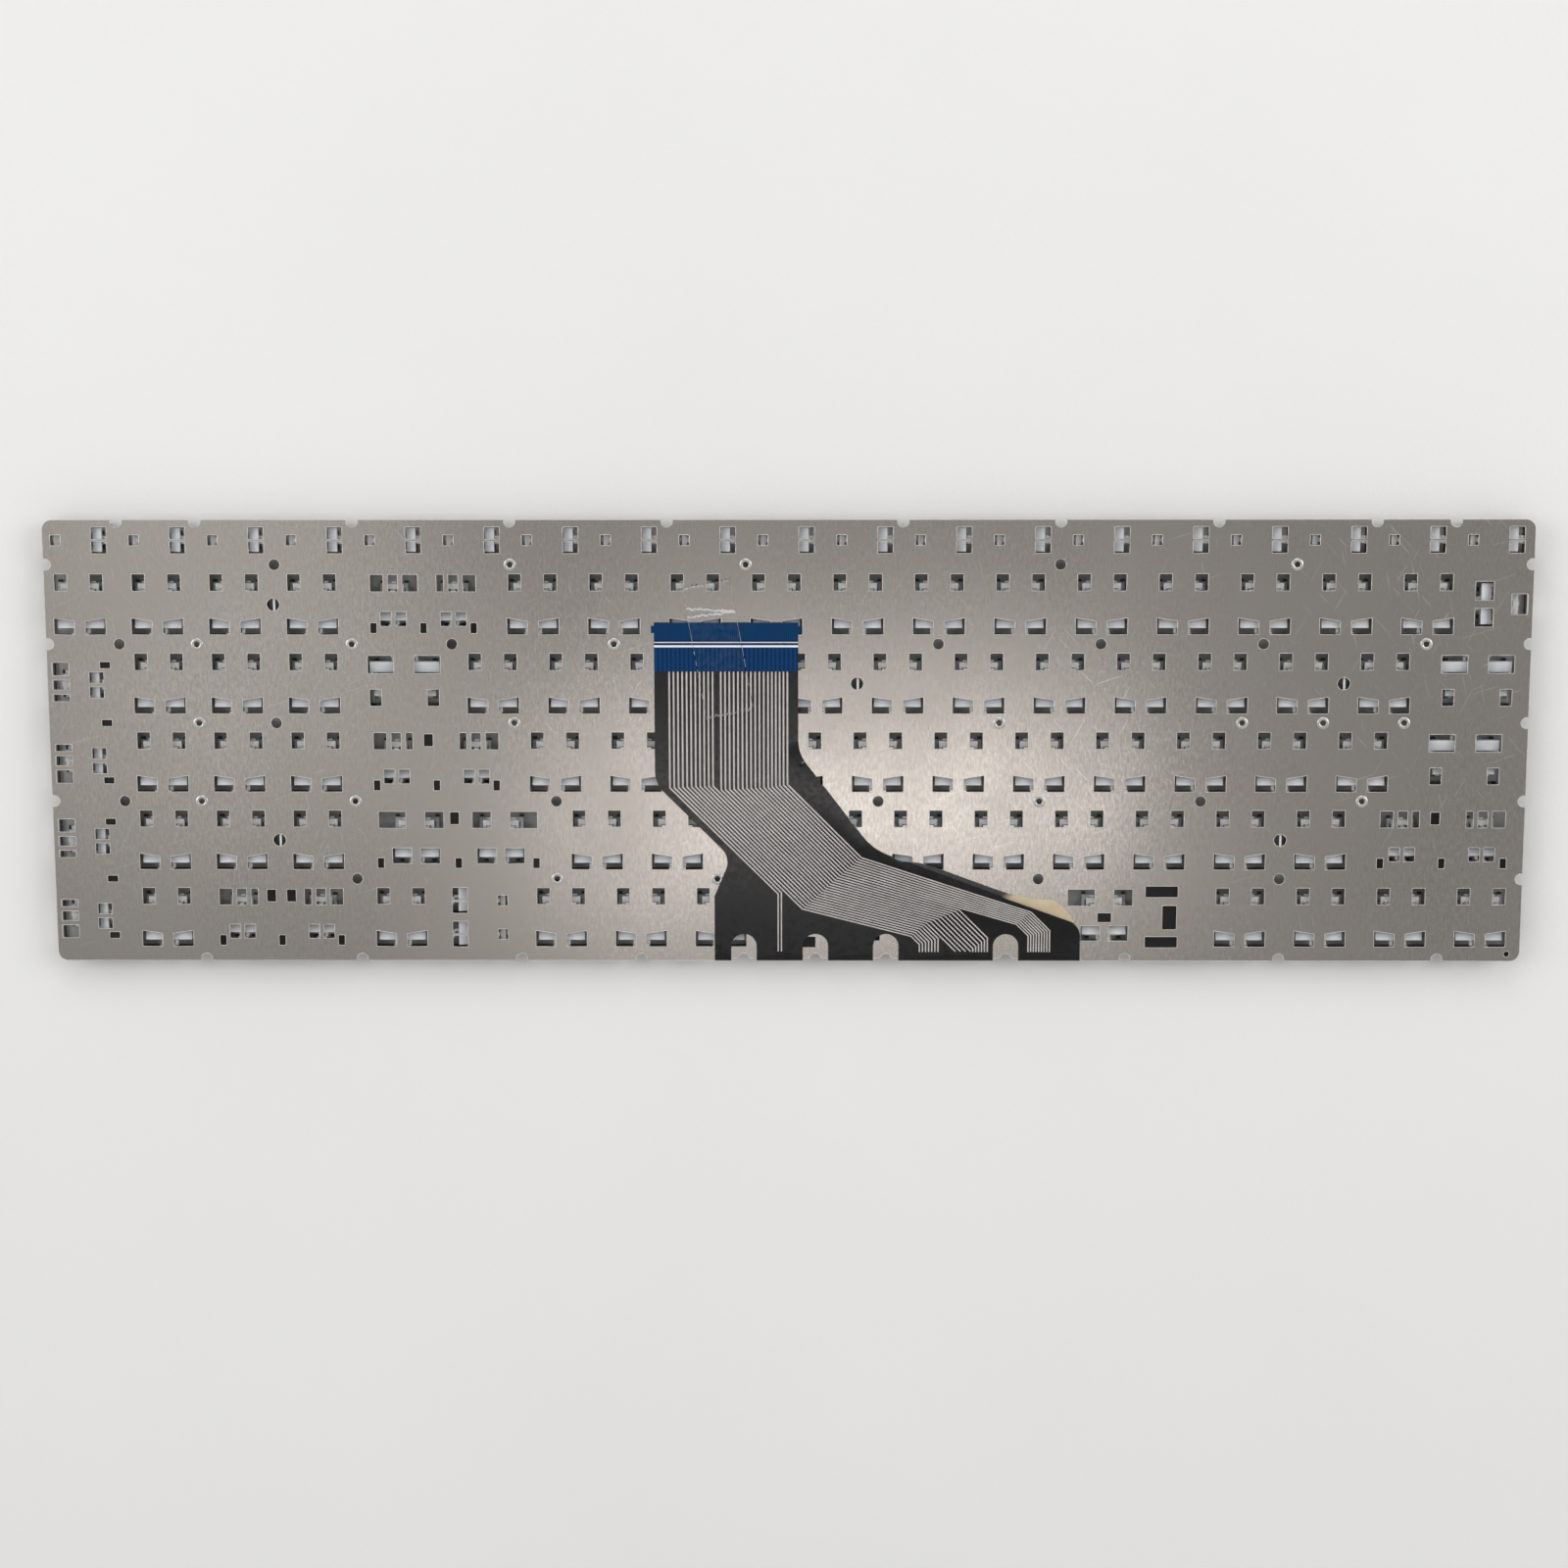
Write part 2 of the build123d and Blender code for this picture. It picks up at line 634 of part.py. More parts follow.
# The stiffener at the end of the tail, with an ear on each side.
with BuildPart() as stiffener:
    with BuildSketch(Plane.XY.offset(tail_top)):
        with Locations(((strip_left + strip_right) / 2, tail_end)):
            Rectangle(tail_strip_width, stiffener_length, align=(Align.CENTER, Align.MAX))
        with Locations(((strip_left + strip_right) / 2, tail_end - stiffener_ear_depth)):
            Rectangle(tail_strip_width + 2 * stiffener_ear, stiffener_ear_depth)
    extrude(amount=stiffener_thickness)
stiffener.part.label = "tail_stiffener"
export_step(stiffener.part, "parts/tail_stiffener.step")

# The clear tape that holds the tail down: from the plate, over the stiffener, onto the tail.
tape_lean = tan(radians(tape_turn)) * tape_width / 2
tape_up = tape_lean + tape_offset
tape_down = -stiffener_length - tape_lean - 3 * tape_offset
tape_points = [(tape_up + tape_on_plate, plate_top), (tape_up + tape_slope, plate_top),
               (tape_up, stiffener_top), (tape_down, stiffener_top),
               (tape_down - tape_slope, tail_top), (tape_down - tape_on_tail, tail_top)]
tape_place = Plane(((strip_left + strip_right) / 2 - 3, tail_end, 0)).rotated((0, 0, tape_turn))
with BuildPart() as tape:
    with BuildSketch(Plane(tape_place.origin, x_dir=tape_place.y_dir, z_dir=tape_place.x_dir)):
        with BuildLine():
            Polyline(*tape_points, *[(u, z + tape_thickness) for u, z in reversed(tape_points)], close=True)
        make_face()
    extrude(amount=tape_width / 2, both=True)
tape.part.label = "holding_tape"
export_step(tape.part, "parts/holding_tape.step")


def frame(low, high, half_width, arm, high_bar, ear):
    """A scissor frame that climbs from the cap at Y = low to the plate at Y = high."""
    run = high - low
    rise = frame_high - frame_low
    length = hypot(run, rise)
    middle = (0, (low + high) / 2, (frame_low + frame_high) / 2)
    with BuildPart() as bars:
        with BuildSketch(Plane(middle, x_dir=(1, 0, 0), z_dir=(0, -rise, run))):
            Rectangle(2 * half_width, length)
            Rectangle(2 * ear, frame_bar)
            with Locations((0, (frame_bar - high_bar) / 2)):
                Rectangle(2 * (half_width - arm), length - frame_bar - high_bar, mode=Mode.SUBTRACT)
        extrude(amount=frame_thickness / 2, both=True)
    return bars.part


# The scissor frames: the outer one slides under the slots, the inner one turns in the pin hooks.
outer_frames = []
inner_frames = []
for kind in kinds:
    slot_low, slot_high = kind.slot_bar()
    outer_frame = frame(kind.reach, slot_low, kind.outer, kind.arm, slot_high - slot_low, kind.outer)
    inner_frame = frame(-kind.reach, kind.pin_bar()[1], kind.inner, kind.arm, frame_bar,
                        kind.outer - kind.arm - fit_room)
    for hinge in all_hinges:
        if hinge.kind is kind:
            outer_frames.append(hinge.place() * outer_frame)
            inner_frames.append(hinge.place() * inner_frame)
export_step(Compound(label="scissor_outer_frames", children=outer_frames),
            "parts/scissor_outer_frames.step")
export_step(Compound(label="scissor_inner_frames", children=inner_frames),
            "parts/scissor_inner_frames.step")


def dome(radius):
    """A hollow rubber dome between the key side sheet and the cap."""
    low = cap_underside + frame_room
    high = sheet_bottom - frame_room
    neck = dome_neck * radius
    with BuildPart() as cup:
        with BuildSketch(Plane.XZ):
            with BuildLine():
                Polyline((0, low), (neck, low), (neck, low + dome_crown),
                         (radius - dome_skin / 2, high - dome_flange), (radius, high - dome_flange),
                         (radius, high), (radius - 1.5 * dome_skin, high),
                         (neck - dome_skin, low + dome_crown + dome_skin),
                         (0, low + dome_crown + dome_skin), close=True)
            make_face()
        revolve(axis=Axis.Z)
    return cup.part


domes = [Location((key.x, key.y)) * dome(dome_size(key)) for key in all_keys]
export_step(Compound(label="rubber_domes", children=domes), "parts/rubber_domes.step")


def wire(key):
    """The levelling wire of a wide key, a long bar in the cap with two legs up to the plate."""
    base = key.plane(0)
    low = cap_underside + frame_room
    high = sheet_bottom - frame_room
    with BuildPart() as bent:
        front = base.origin - base.y_dir * wire_offset
        with BuildSketch(Plane(front, x_dir=base.x_dir, z_dir=-base.y_dir)):
            with Locations((0, low)):
                Rectangle(2 * key.wire + wire_size, high - low, align=(Align.CENTER, Align.MIN))
            with Locations((0, low + wire_size)):
                Rectangle(2 * key.wire - wire_size, high - low, align=(Align.CENTER, Align.MIN),
                          mode=Mode.SUBTRACT)
        extrude(amount=wire_size / 2, both=True)
    return bent.part


export_step(Compound(label="levelling_wires", children=[wire(key) for key in wired_keys]),
            "parts/levelling_wires.step")


def keycap(key):
    """A hollow keycap with posts that hold the low ends of its scissor frames."""
    shrink = 2 * cap_height * tan(radians(cap_taper))
    with BuildPart() as cap:
        with BuildSketch(Plane((key.x, key.y, 0))):
            RectangleRounded(key.width - shrink, key.depth - shrink, cap_corner)
        extrude(amount=cap_height, taper=-cap_taper)
        with BuildSketch(Plane((key.x, key.y, cap_face))):
            Rectangle(key.width - 2 * cap_wall, key.depth - 2 * cap_wall)
        extrude(amount=cap_height, mode=Mode.SUBTRACT)
        for hinge in key.hinges:
            line = hinge.kind.reach + fit_room + post_depth / 2
            low_x = hinge.kind.inner - post_width / 2
            high_x = hinge.kind.outer - post_width / 2
            with BuildSketch(hinge.plane(cap_face)):
                with Locations((-low_x, -line), (low_x, -line), (-high_x, line), (high_x, line)):
                    Rectangle(post_width, post_depth)
            extrude(amount=post_height)
    return cap.part


# Keys that move have a file each; the others are kept in groups.
letters = set("abcdefghijklmnopqrstuvwxyz0123456789")
moving = {"space", "enter", "backspace", "up_arrow", "down_arrow", "left_arrow", "right_arrow"}
punctuation = {"equals", "hyphen", "right_bracket", "left_bracket", "quote", "semicolon", "slash", "period",
               "comma", "grave", "backslash"}
modifiers = []
marks = []
for key in typing_keys:
    cap = keycap(key)
    if key.name in letters or key.name in moving:
        cap.label = f"keycap_{key.name}"
        export_step(cap, f"parts/keycap_{key.name}.step")
    elif key.name in punctuation:
        marks.append(cap)
    else:
        modifiers.append(cap)
export_step(Compound(label="punctuation_keycaps", children=marks), "parts/punctuation_keycaps.step")
export_step(Compound(label="modifier_keycaps", children=modifiers), "parts/modifier_keycaps.step")
export_step(Compound(label="number_pad_keycaps", children=[keycap(key) for key in number_pad]),
            "parts/number_pad_keycaps.step")
export_step(Compound(label="function_row_keycaps", children=[keycap(key) for key in function_row]),
            "parts/function_row_keycaps.step")
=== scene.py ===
# %% [markdown]
# # A laptop keyboard seen from its back
# The keyboard lies keys down on a pale table, so the camera sees the stamped metal plate, the black
# tail folded onto it, the blue stiffener and a strip of clear tape. The solids come in as a fixed
# frame: they are never moved. This lesson gives each of them a finish, and rebuilds the few pieces
# whose look a plain solid can't carry.

# %% Load the frame
import math

import bmesh
import bpy
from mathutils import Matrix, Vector


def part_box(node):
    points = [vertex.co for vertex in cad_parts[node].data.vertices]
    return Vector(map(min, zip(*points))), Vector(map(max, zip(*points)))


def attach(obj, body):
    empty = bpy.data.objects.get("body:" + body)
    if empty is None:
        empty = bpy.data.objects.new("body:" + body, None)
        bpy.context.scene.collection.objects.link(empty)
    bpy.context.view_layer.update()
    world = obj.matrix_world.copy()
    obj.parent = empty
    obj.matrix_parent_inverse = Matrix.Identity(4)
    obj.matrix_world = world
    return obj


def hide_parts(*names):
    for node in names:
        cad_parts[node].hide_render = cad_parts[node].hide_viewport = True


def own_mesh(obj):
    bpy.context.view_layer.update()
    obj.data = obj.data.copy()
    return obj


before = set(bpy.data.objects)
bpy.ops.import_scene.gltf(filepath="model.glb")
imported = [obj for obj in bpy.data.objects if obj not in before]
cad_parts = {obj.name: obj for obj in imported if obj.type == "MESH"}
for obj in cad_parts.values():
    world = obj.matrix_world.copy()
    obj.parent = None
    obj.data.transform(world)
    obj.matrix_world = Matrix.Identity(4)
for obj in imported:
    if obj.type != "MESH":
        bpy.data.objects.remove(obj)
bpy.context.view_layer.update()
scene = bpy.context.scene
mm = 0.001

# %% [markdown]
# Places on the plate are easiest to say as a ruler would: so many millimetres from its left edge and
# from its bottom edge. One small helper turns such a pair into a point of the scene.

# %% A ruler on the plate
plate_low, plate_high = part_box("back_plate")


def on_plate(x, y, z):
    """A point x, y millimetres from the plate's lower left corner, z metres above the table."""
    return Vector((plate_low.x + x * mm, plate_low.y + y * mm, z))


print("plate, mm:", [round(v / mm, 2) for v in (plate_high - plate_low)])

# %% [markdown]
# The camera stands where the photographer stood: almost overhead, a little past the function row,
# tipped by nine degrees. Place, tilt and lens were solved from the four corners of the plate.

# %% Camera
camera_data = bpy.data.cameras.new("photo_camera")
camera_data.sensor_fit = "HORIZONTAL"
camera_data.sensor_width = 36.0
camera_data.lens = 66.84
camera_data.clip_start = 0.01
camera = bpy.data.objects.new("photo_camera", camera_data)
camera.location = (0.0046865, 0.0968603, 0.6776528)
camera.rotation_euler = (-0.1571, 0.0080, -0.0010)
scene.collection.objects.link(camera)
scene.camera = camera
scene.view_settings.view_transform = "Standard"
print("camera height, mm:", round(camera.location.z / mm))

# %% [markdown]
# Every finish below starts with the same two nodes, so a helper makes them. A second helper adds a
# node and sets its values in one line. The others stand for the nodes that are used most, which keeps
# the node code readable.


# %% Helpers for node code
def start_finish(name):
    """A new material with an empty tree but for its shader and output."""
    material = bpy.data.materials.new(name)
    material.use_nodes = True
    tree = material.node_tree
    tree.nodes.clear()
    shader = tree.nodes.new("ShaderNodeBsdfPrincipled")
    output = tree.nodes.new("ShaderNodeOutputMaterial")
    tree.links.new(shader.outputs["BSDF"], output.inputs["Surface"])
    return material, tree, shader


def add_node(tree, kind, **values):
    """Add a node; a value is a property of the node, or else the number of one of its inputs."""
    node = tree.nodes.new(kind)
    for key, value in values.items():
        if hasattr(node, key):
            setattr(node, key, value)
        else:
            node.inputs[key.replace("_", " ")].default_value = value
    return node


def math_node(tree, operation, first, second=0.0, clamp=False):
    """A Math node whose two inputs are numbers or sockets; gives its output."""
    node = tree.nodes.new("ShaderNodeMath")
    node.operation = operation
    node.use_clamp = clamp
    for socket, value in zip(node.inputs, (first, second)):
        if isinstance(value, bpy.types.NodeSocket):
            tree.links.new(value, socket)
        else:
            socket.default_value = value
    return node.outputs[0]


def ramp(tree, value, low, high, start=0.0, stop=1.0):
    """Spread a value from low..high over start..stop, held at both ends."""
    node = add_node(tree, "ShaderNodeMapRange", clamp=True)
    for name, number in (("From Min", low), ("From Max", high), ("To Min", start), ("To Max", stop)):
        node.inputs[name].default_value = number
    tree.links.new(value, node.inputs["Value"])
    return node.outputs["Result"]


def blend_colours(tree, mask, first, second):
    """Mix two colours by a mask; each is a colour or a socket."""
    node = add_node(tree, "ShaderNodeMix", data_type="RGBA")
    tree.links.new(mask, node.inputs["Factor"])
    for name, value in (("A", first), ("B", second)):
        socket = next(s for s in node.inputs if s.name == name and s.type == "RGBA")
        if isinstance(value, bpy.types.NodeSocket):
            tree.links.new(value, socket)
        else:
            socket.default_value = (*value, 1.0)
    return next(s for s in node.outputs if s.type == "RGBA")


def bump(tree, height, depth, strength=1.0):
    """A Bump node for a height of 0 to 1 that stands for depth metres."""
    node = add_node(tree, "ShaderNodeBump", Strength=strength, Distance=depth)
    tree.links.new(height, node.inputs["Height"])
    return node.outputs["Normal"]


def coordinates(tree, kind="Object"):
    """The X, Y and Z of the spot that is being shaded, as sockets."""
    split = tree.nodes.new("ShaderNodeSeparateXYZ")
    tree.links.new(tree.nodes.new("ShaderNodeTexCoord").outputs[kind], split.inputs["Vector"])
    return split.outputs


# %% [markdown]
# The plate, its hooks and the table all show fine texture. Three effects are shared by several
# finishes, so each is a node group: brushed grain (noise drawn out along one direction), moulded grain
# (two sizes of round noise) and handling marks (thin scratches in patches, and cloudy stains).


# %% Shared effects
def start_group(name, inputs, outputs):
    group = bpy.data.node_groups.new(name, "ShaderNodeTree")
    for title, value in inputs:
        socket = group.interface.new_socket(title, in_out="INPUT", socket_type="NodeSocketFloat")
        socket.default_value = value
    for title in outputs:
        group.interface.new_socket(title, in_out="OUTPUT", socket_type="NodeSocketFloat")
    given = group.nodes.new("NodeGroupInput")
    result = group.nodes.new("NodeGroupOutput")
    place = group.nodes.new("ShaderNodeTexCoord").outputs["Object"]
    return group, given, result, place


def noise(tree, vector, detail=3.0, roughness=0.55, scale=1.0):
    node = add_node(tree, "ShaderNodeTexNoise", Scale=scale, Detail=detail, Roughness=roughness)
    tree.links.new(vector, node.inputs["Vector"])
    return node.outputs["Fac"]


def stretched(tree, vector, across, along, turn=0.0):
    """Coordinates drawn out along one direction, after a turn about Z."""
    turned = add_node(tree, "ShaderNodeMapping")
    turned.inputs["Rotation"].default_value = (0.0, 0.0, turn)
    tree.links.new(vector, turned.inputs["Vector"])
    sizes = tree.nodes.new("ShaderNodeCombineXYZ")
    for socket, value in zip(sizes.inputs, (across, along, along)):
        if isinstance(value, bpy.types.NodeSocket):
            tree.links.new(value, socket)
        else:
            socket.default_value = value
    scaled = add_node(tree, "ShaderNodeVectorMath", operation="MULTIPLY")
    tree.links.new(turned.outputs["Vector"], scaled.inputs[0])
    tree.links.new(sizes.outputs["Vector"], scaled.inputs[1])
    return scaled.outputs["Vector"]


brushed_grain, given, result, place = start_group(
    "brushed_grain", [("Across", 6000.0), ("Along", 60.0)], ["Tone"])
lines = stretched(brushed_grain, place, given.outputs["Across"], given.outputs["Along"])
brushed_grain.links.new(noise(brushed_grain, lines, 4.0, 0.6), result.inputs["Tone"])

moulded_grain, given, result, place = start_group(
    "moulded_grain", [("Fine", 5000.0), ("Coarse", 500.0)], ["Height", "Tone"])
for title, output, detail in (("Fine", "Height", 2.0), ("Coarse", "Tone", 4.0)):
    sized = add_node(moulded_grain, "ShaderNodeVectorMath", operation="SCALE")
    moulded_grain.links.new(place, sized.inputs[0])
    moulded_grain.links.new(given.outputs[title], sized.inputs["Scale"])
    moulded_grain.links.new(noise(moulded_grain, sized.outputs["Vector"], detail), result.inputs[output])

handling_marks, given, result, place = start_group(
    "handling_marks", [("Reach", 0.5)], ["Scratches", "Stains"])
hairs = None
for turn, across, along, level in ((0.5, 1700.0, 70.0, 0.715), (-0.75, 2100.0, 90.0, 0.71),
                                   (1.25, 1500.0, 60.0, 0.72), (-0.2, 1900.0, 80.0, 0.72)):
    drawn_out = stretched(handling_marks, place, across, along, turn)
    found = ramp(handling_marks, noise(handling_marks, drawn_out, 1.0), level, level + 0.03)
    hairs = found if hairs is None else math_node(handling_marks, "MAXIMUM", hairs, found)
patches = ramp(handling_marks, noise(handling_marks, place, 2.0, 0.5, 22.0), 0.42, 0.62)
hairs = math_node(handling_marks, "MULTIPLY", hairs, patches)
handling_marks.links.new(math_node(handling_marks, "MULTIPLY", hairs, given.outputs["Reach"]),
                         result.inputs["Scratches"])
handling_marks.links.new(noise(handling_marks, place, 5.0, 0.6, 18.0), result.inputs["Stains"])


def use_group(tree, group, **values):
    node = tree.nodes.new("ShaderNodeGroup")
    node.node_tree = group
    for key, value in values.items():
        node.inputs[key].default_value = value
    return node.outputs


print("shared effects:", [g.name for g in bpy.data.node_groups])

# %% [markdown]
# The table is a pale laminate. A very fine grain keeps it from looking like a hole in the picture, and
# it catches the soft shadow along the plate's lower edge. Far from the keyboard it fades into the tone
# of the sky at the horizon, for what the camera and mirrors see, so that low views show no table edge.

# %% Table
table_mesh = bpy.data.meshes.new("table_top")
table_reach, table_height = 3.0, -0.02 * mm
table_corners = [(table_reach * x, table_reach * y, table_height)
                 for x, y in ((-1, -1), (1, -1), (1, 1), (-1, 1))]
table_mesh.from_pydata(table_corners, [], [(0, 1, 2, 3)])
table_top = bpy.data.objects.new("table_top", table_mesh)
scene.collection.objects.link(table_top)
table_finish, tree, shader = start_finish("pale_laminate")
grain = use_group(tree, moulded_grain, Fine=900.0, Coarse=6.0)
tree.links.new(blend_colours(tree, grain["Tone"], (0.80, 0.80, 0.79), (0.86, 0.86, 0.85)),
               shader.inputs["Base Color"])
tree.links.new(bump(tree, grain["Height"], 0.00015, 0.25), shader.inputs["Normal"])
shader.inputs["Roughness"].default_value = 0.55
shader.inputs["Specular IOR Level"].default_value = 0.3
horizon_tone, fade_start, fade_stop = 0.86, 0.5, 2.0
away = add_node(tree, "ShaderNodeVectorMath", operation="LENGTH")
tree.links.new(tree.nodes.new("ShaderNodeTexCoord").outputs["Object"], away.inputs[0])
ray = tree.nodes.new("ShaderNodeLightPath").outputs
seen = math_node(tree, "MAXIMUM", ray["Is Camera Ray"], ray["Is Glossy Ray"])
seen = math_node(tree, "MAXIMUM", seen, ray["Is Transmission Ray"])
far = math_node(tree, "MULTIPLY", ramp(tree, away.outputs["Value"], fade_start, fade_stop), seen)
haze = tree.nodes.new("ShaderNodeEmission")
haze.inputs["Color"].default_value = (horizon_tone, horizon_tone, horizon_tone, 1.0)
fade = tree.nodes.new("ShaderNodeMixShader")
output = next(node for node in tree.nodes if node.type == "OUTPUT_MATERIAL")
tree.links.new(far, fade.inputs["Fac"])
tree.links.new(shader.outputs["BSDF"], fade.inputs[1])
tree.links.new(haze.outputs["Emission"], fade.inputs[2])
tree.links.new(fade.outputs["Shader"], output.inputs["Surface"])
table_mesh.materials.append(table_finish)
print("table at", table_mesh.vertices[0].co.z)

# %% [markdown]
# Light for flat metal is made of what the metal mirrors. A long narrow panel hangs where the camera
# sees it mirrored in the lower half of the plate, and gives a soft bright band there. A faint one lifts
# the upper left. Wide panels on three sides, never mirrored here, light the table and the plastics.
# The sky is pale near the horizon and greyer overhead.


# %% Light
def light_panel(name, place, aim, width, length, watts, tint=(1.0, 1.0, 1.0)):
    data = bpy.data.lights.new(name, "AREA")
    data.shape = "RECTANGLE"
    data.size, data.size_y = width, length
    data.energy = watts
    data.color = tint
    lamp = bpy.data.objects.new(name, data)
    lamp.location = place
    lamp.rotation_euler = (Vector(aim) - Vector(place)).to_track_quat("-Z", "Y").to_euler()
    scene.collection.objects.link(lamp)


light_panel("ceiling_panel", (0.018, -0.146, 0.80), (0.01, 0.0, 0.0), 0.28, 0.08, 0.14, (1.0, 0.96, 0.93))
light_panel("left_ceiling_panel", (-0.30, 0.0, 0.80), (-0.13, 0.02, 0.0), 0.34, 0.20, 0.078,
            (1.0, 0.98, 0.95))
light_panel("left_panel", (-1.0, 0.25, 0.75), (0.0, 0.0, 0.0), 0.7, 0.7, 4.6)
light_panel("right_panel", (1.0, 0.35, 0.75), (0.0, 0.0, 0.0), 0.7, 0.7, 5.0)
light_panel("front_panel", (0.0, 1.1, 0.7), (0.0, 0.0, 0.0), 0.9, 0.6, 4.2)

world = bpy.data.worlds.new("studio_sky")
scene.world = world
world.use_nodes = True
tree = world.node_tree
tree.nodes.clear()
sky = tree.nodes.new("ShaderNodeBackground")
overhead = ramp(tree, coordinates(tree, "Generated")["Z"], 0.25, 0.85)
tree.links.new(blend_colours(tree, overhead, (horizon_tone, horizon_tone, horizon_tone),
                             (0.33, 0.322, 0.315)), sky.inputs["Color"])
tree.links.new(sky.outputs["Background"], tree.nodes.new("ShaderNodeOutputWorld").inputs["Surface"])

# %% [markdown]
# The plate is thin stamped aluminium with a vertical brushed grain, grey stains and light scratches.
# Grain and stains change its tone and its gloss; the scratches are a little brighter. The hooks bent
# out of it lie deeper, and the finish reads the height to paint them near-white and less metallic, a
# painted highlight for the ceiling light they mirror. The upper right has been handled most, and its
# scratches are the strongest.

# %% Plate finish
plate_metal, tree, shader = start_finish("plate_metal")
grain = use_group(tree, brushed_grain, Across=5200.0, Along=420.0)
broad_grain = use_group(tree, brushed_grain, Across=1700.0, Along=620.0)
marks = use_group(tree, handling_marks, Reach=0.5)
tone = math_node(tree, "ADD", math_node(tree, "MULTIPLY", grain["Tone"], 0.4),
                 math_node(tree, "MULTIPLY", broad_grain["Tone"], 0.6))
metal = blend_colours(tree, ramp(tree, tone, 0.40, 0.60), (0.440, 0.420, 0.396), (0.720, 0.690, 0.652))
mottle = use_group(tree, moulded_grain, Fine=1900.0, Coarse=70.0)
metal = blend_colours(tree, ramp(tree, mottle["Height"], 0.35, 0.65, 0.0, 0.7), metal, (0.50, 0.475, 0.447))
metal = blend_colours(tree, ramp(tree, mottle["Tone"], 0.4, 0.7, 0.0, 0.35), metal, (0.62, 0.565, 0.527))
stained = blend_colours(tree, ramp(tree, marks["Stains"], 0.35, 0.7), (0.54, 0.512, 0.480), metal)
spot = coordinates(tree)
worn = math_node(tree, "MULTIPLY", ramp(tree, spot["X"], 0.03, 0.12), ramp(tree, spot["Y"], -0.03, 0.02))
worn = ramp(tree, worn, 0.0, 1.0, 0.35, 1.5)
scratched = math_node(tree, "MULTIPLY", marks["Scratches"], worn, True)
marked = blend_colours(tree, scratched, stained, (0.93, 0.92, 0.90))
# painted highlight: the deep hooks get a near-white colour and little metal, for the ceiling light they
# mirror
hook_highlight = ramp(tree, spot["Z"], plate_high.z - 0.9 * mm, plate_high.z - 0.5 * mm, 1.0, 0.0)
tree.links.new(blend_colours(tree, hook_highlight, marked, (0.95, 0.95, 0.94)), shader.inputs["Base Color"])
tree.links.new(ramp(tree, hook_highlight, 0.0, 1.0, 1.0, 0.1), shader.inputs["Metallic"])
gloss = ramp(tree, math_node(tree, "ADD", math_node(tree, "MULTIPLY", tone, 0.5), marks["Stains"]),
             0.55, 0.95, 0.25, 0.185)
tree.links.new(gloss, shader.inputs["Roughness"])
relief = math_node(tree, "ADD", math_node(tree, "MULTIPLY", tone, 0.35),
                   math_node(tree, "MULTIPLY", mottle["Height"], 0.65))
tree.links.new(bump(tree, relief, 0.00001, 0.6), shader.inputs["Normal"])
print("finish:", plate_metal.name)

# %% [markdown]
# The plastics are simpler: moulded grain gives each one its bump, and a slow change of tone keeps large
# faces alive. One function makes them all, with the colours and the gloss as its inputs.


# %% Plastic finishes
def plastic(name, dark, light, gloss, fine=5200.0, depth=0.00001, coarse=420.0, **constants):
    """A grained finish between two colours; constants are fixed values of the shader's other inputs."""
    material, tree, shader = start_finish(name)
    for title, value in constants.items():
        shader.inputs[title.replace("_", " ")].default_value = value
    grain = use_group(tree, moulded_grain, Fine=fine, Coarse=coarse)
    mask = ramp(tree, grain["Tone"], 0.3, 0.7)
    tree.links.new(blend_colours(tree, mask, dark, light), shader.inputs["Base Color"])
    roughness = ramp(tree, grain["Height"], 0.3, 0.7, gloss - 0.06, gloss + 0.06)
    tree.links.new(roughness, shader.inputs["Roughness"])
    tree.links.new(bump(tree, grain["Height"], depth, 0.5), shader.inputs["Normal"])
    return material


keycap_plastic = plastic("keycap_plastic", (0.030, 0.030, 0.032), (0.042, 0.042, 0.044), 0.55)
pale_scissor = plastic("pale_scissor_plastic", (0.62, 0.64, 0.67), (0.74, 0.76, 0.79), 0.40)
grey_scissor = plastic("grey_scissor_plastic", (0.58, 0.59, 0.60), (0.70, 0.71, 0.72), 0.45)
# painted light: a pale grey for the black keycaps' inner floors, which lifts the shade inside the windows
painted_light_inside = plastic("painted_light_inside_plastic", (0.47, 0.48, 0.475), (0.57, 0.58, 0.575), 0.5)
dome_rubber = plastic("dome_rubber", (0.50, 0.50, 0.485), (0.60, 0.60, 0.58), 0.5)
key_film = plastic("key_film", (0.020, 0.020, 0.022), (0.030, 0.030, 0.032), 0.35)
spacer_film = plastic("spacer_film", (0.10, 0.10, 0.105), (0.14, 0.14, 0.145), 0.35)
tail_film = plastic("tail_film", (0.0050, 0.0048, 0.0055), (0.0085, 0.0080, 0.0090), 0.17,
                    fine=900.0, depth=0.000002, coarse=60.0, Specular_IOR_Level=0.4)
wire_steel = plastic("wire_steel", (0.55, 0.55, 0.54), (0.66, 0.66, 0.65), 0.3, Metallic=1.0)
print("plastics:", len(bpy.data.materials) - 2)

# %% [markdown]
# Solids whose shape is already right keep it and only change their finish.


# %% Dress the solids
def dress(node, material):
    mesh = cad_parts[node].data
    mesh.materials.clear()
    mesh.materials.append(material)


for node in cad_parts:
    if "keycap" in node:
        dress(node, keycap_plastic)
dress("key_side_sheet", key_film)
dress("spacer_sheet", spacer_film)
print("dressed:", sum(bool(o.data.materials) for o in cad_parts.values()))

# %% [markdown]
# A punch leaves windows with rounded corners. A solid's mesh is loose triangles, so a copy is merged
# first and its flat faces are joined. Then the upright edges in the corners are rounded. The edges
# where the back meets a wall are noted for the rims, which come next but one.


# %% Stamped plate
def merged_copy(node):
    """A solid's mesh with its loose triangles joined up, ready for editing."""
    work = bmesh.new()
    work.from_mesh(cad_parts[node].data)
    bmesh.ops.remove_doubles(work, verts=work.verts, dist=1e-6)
    return work


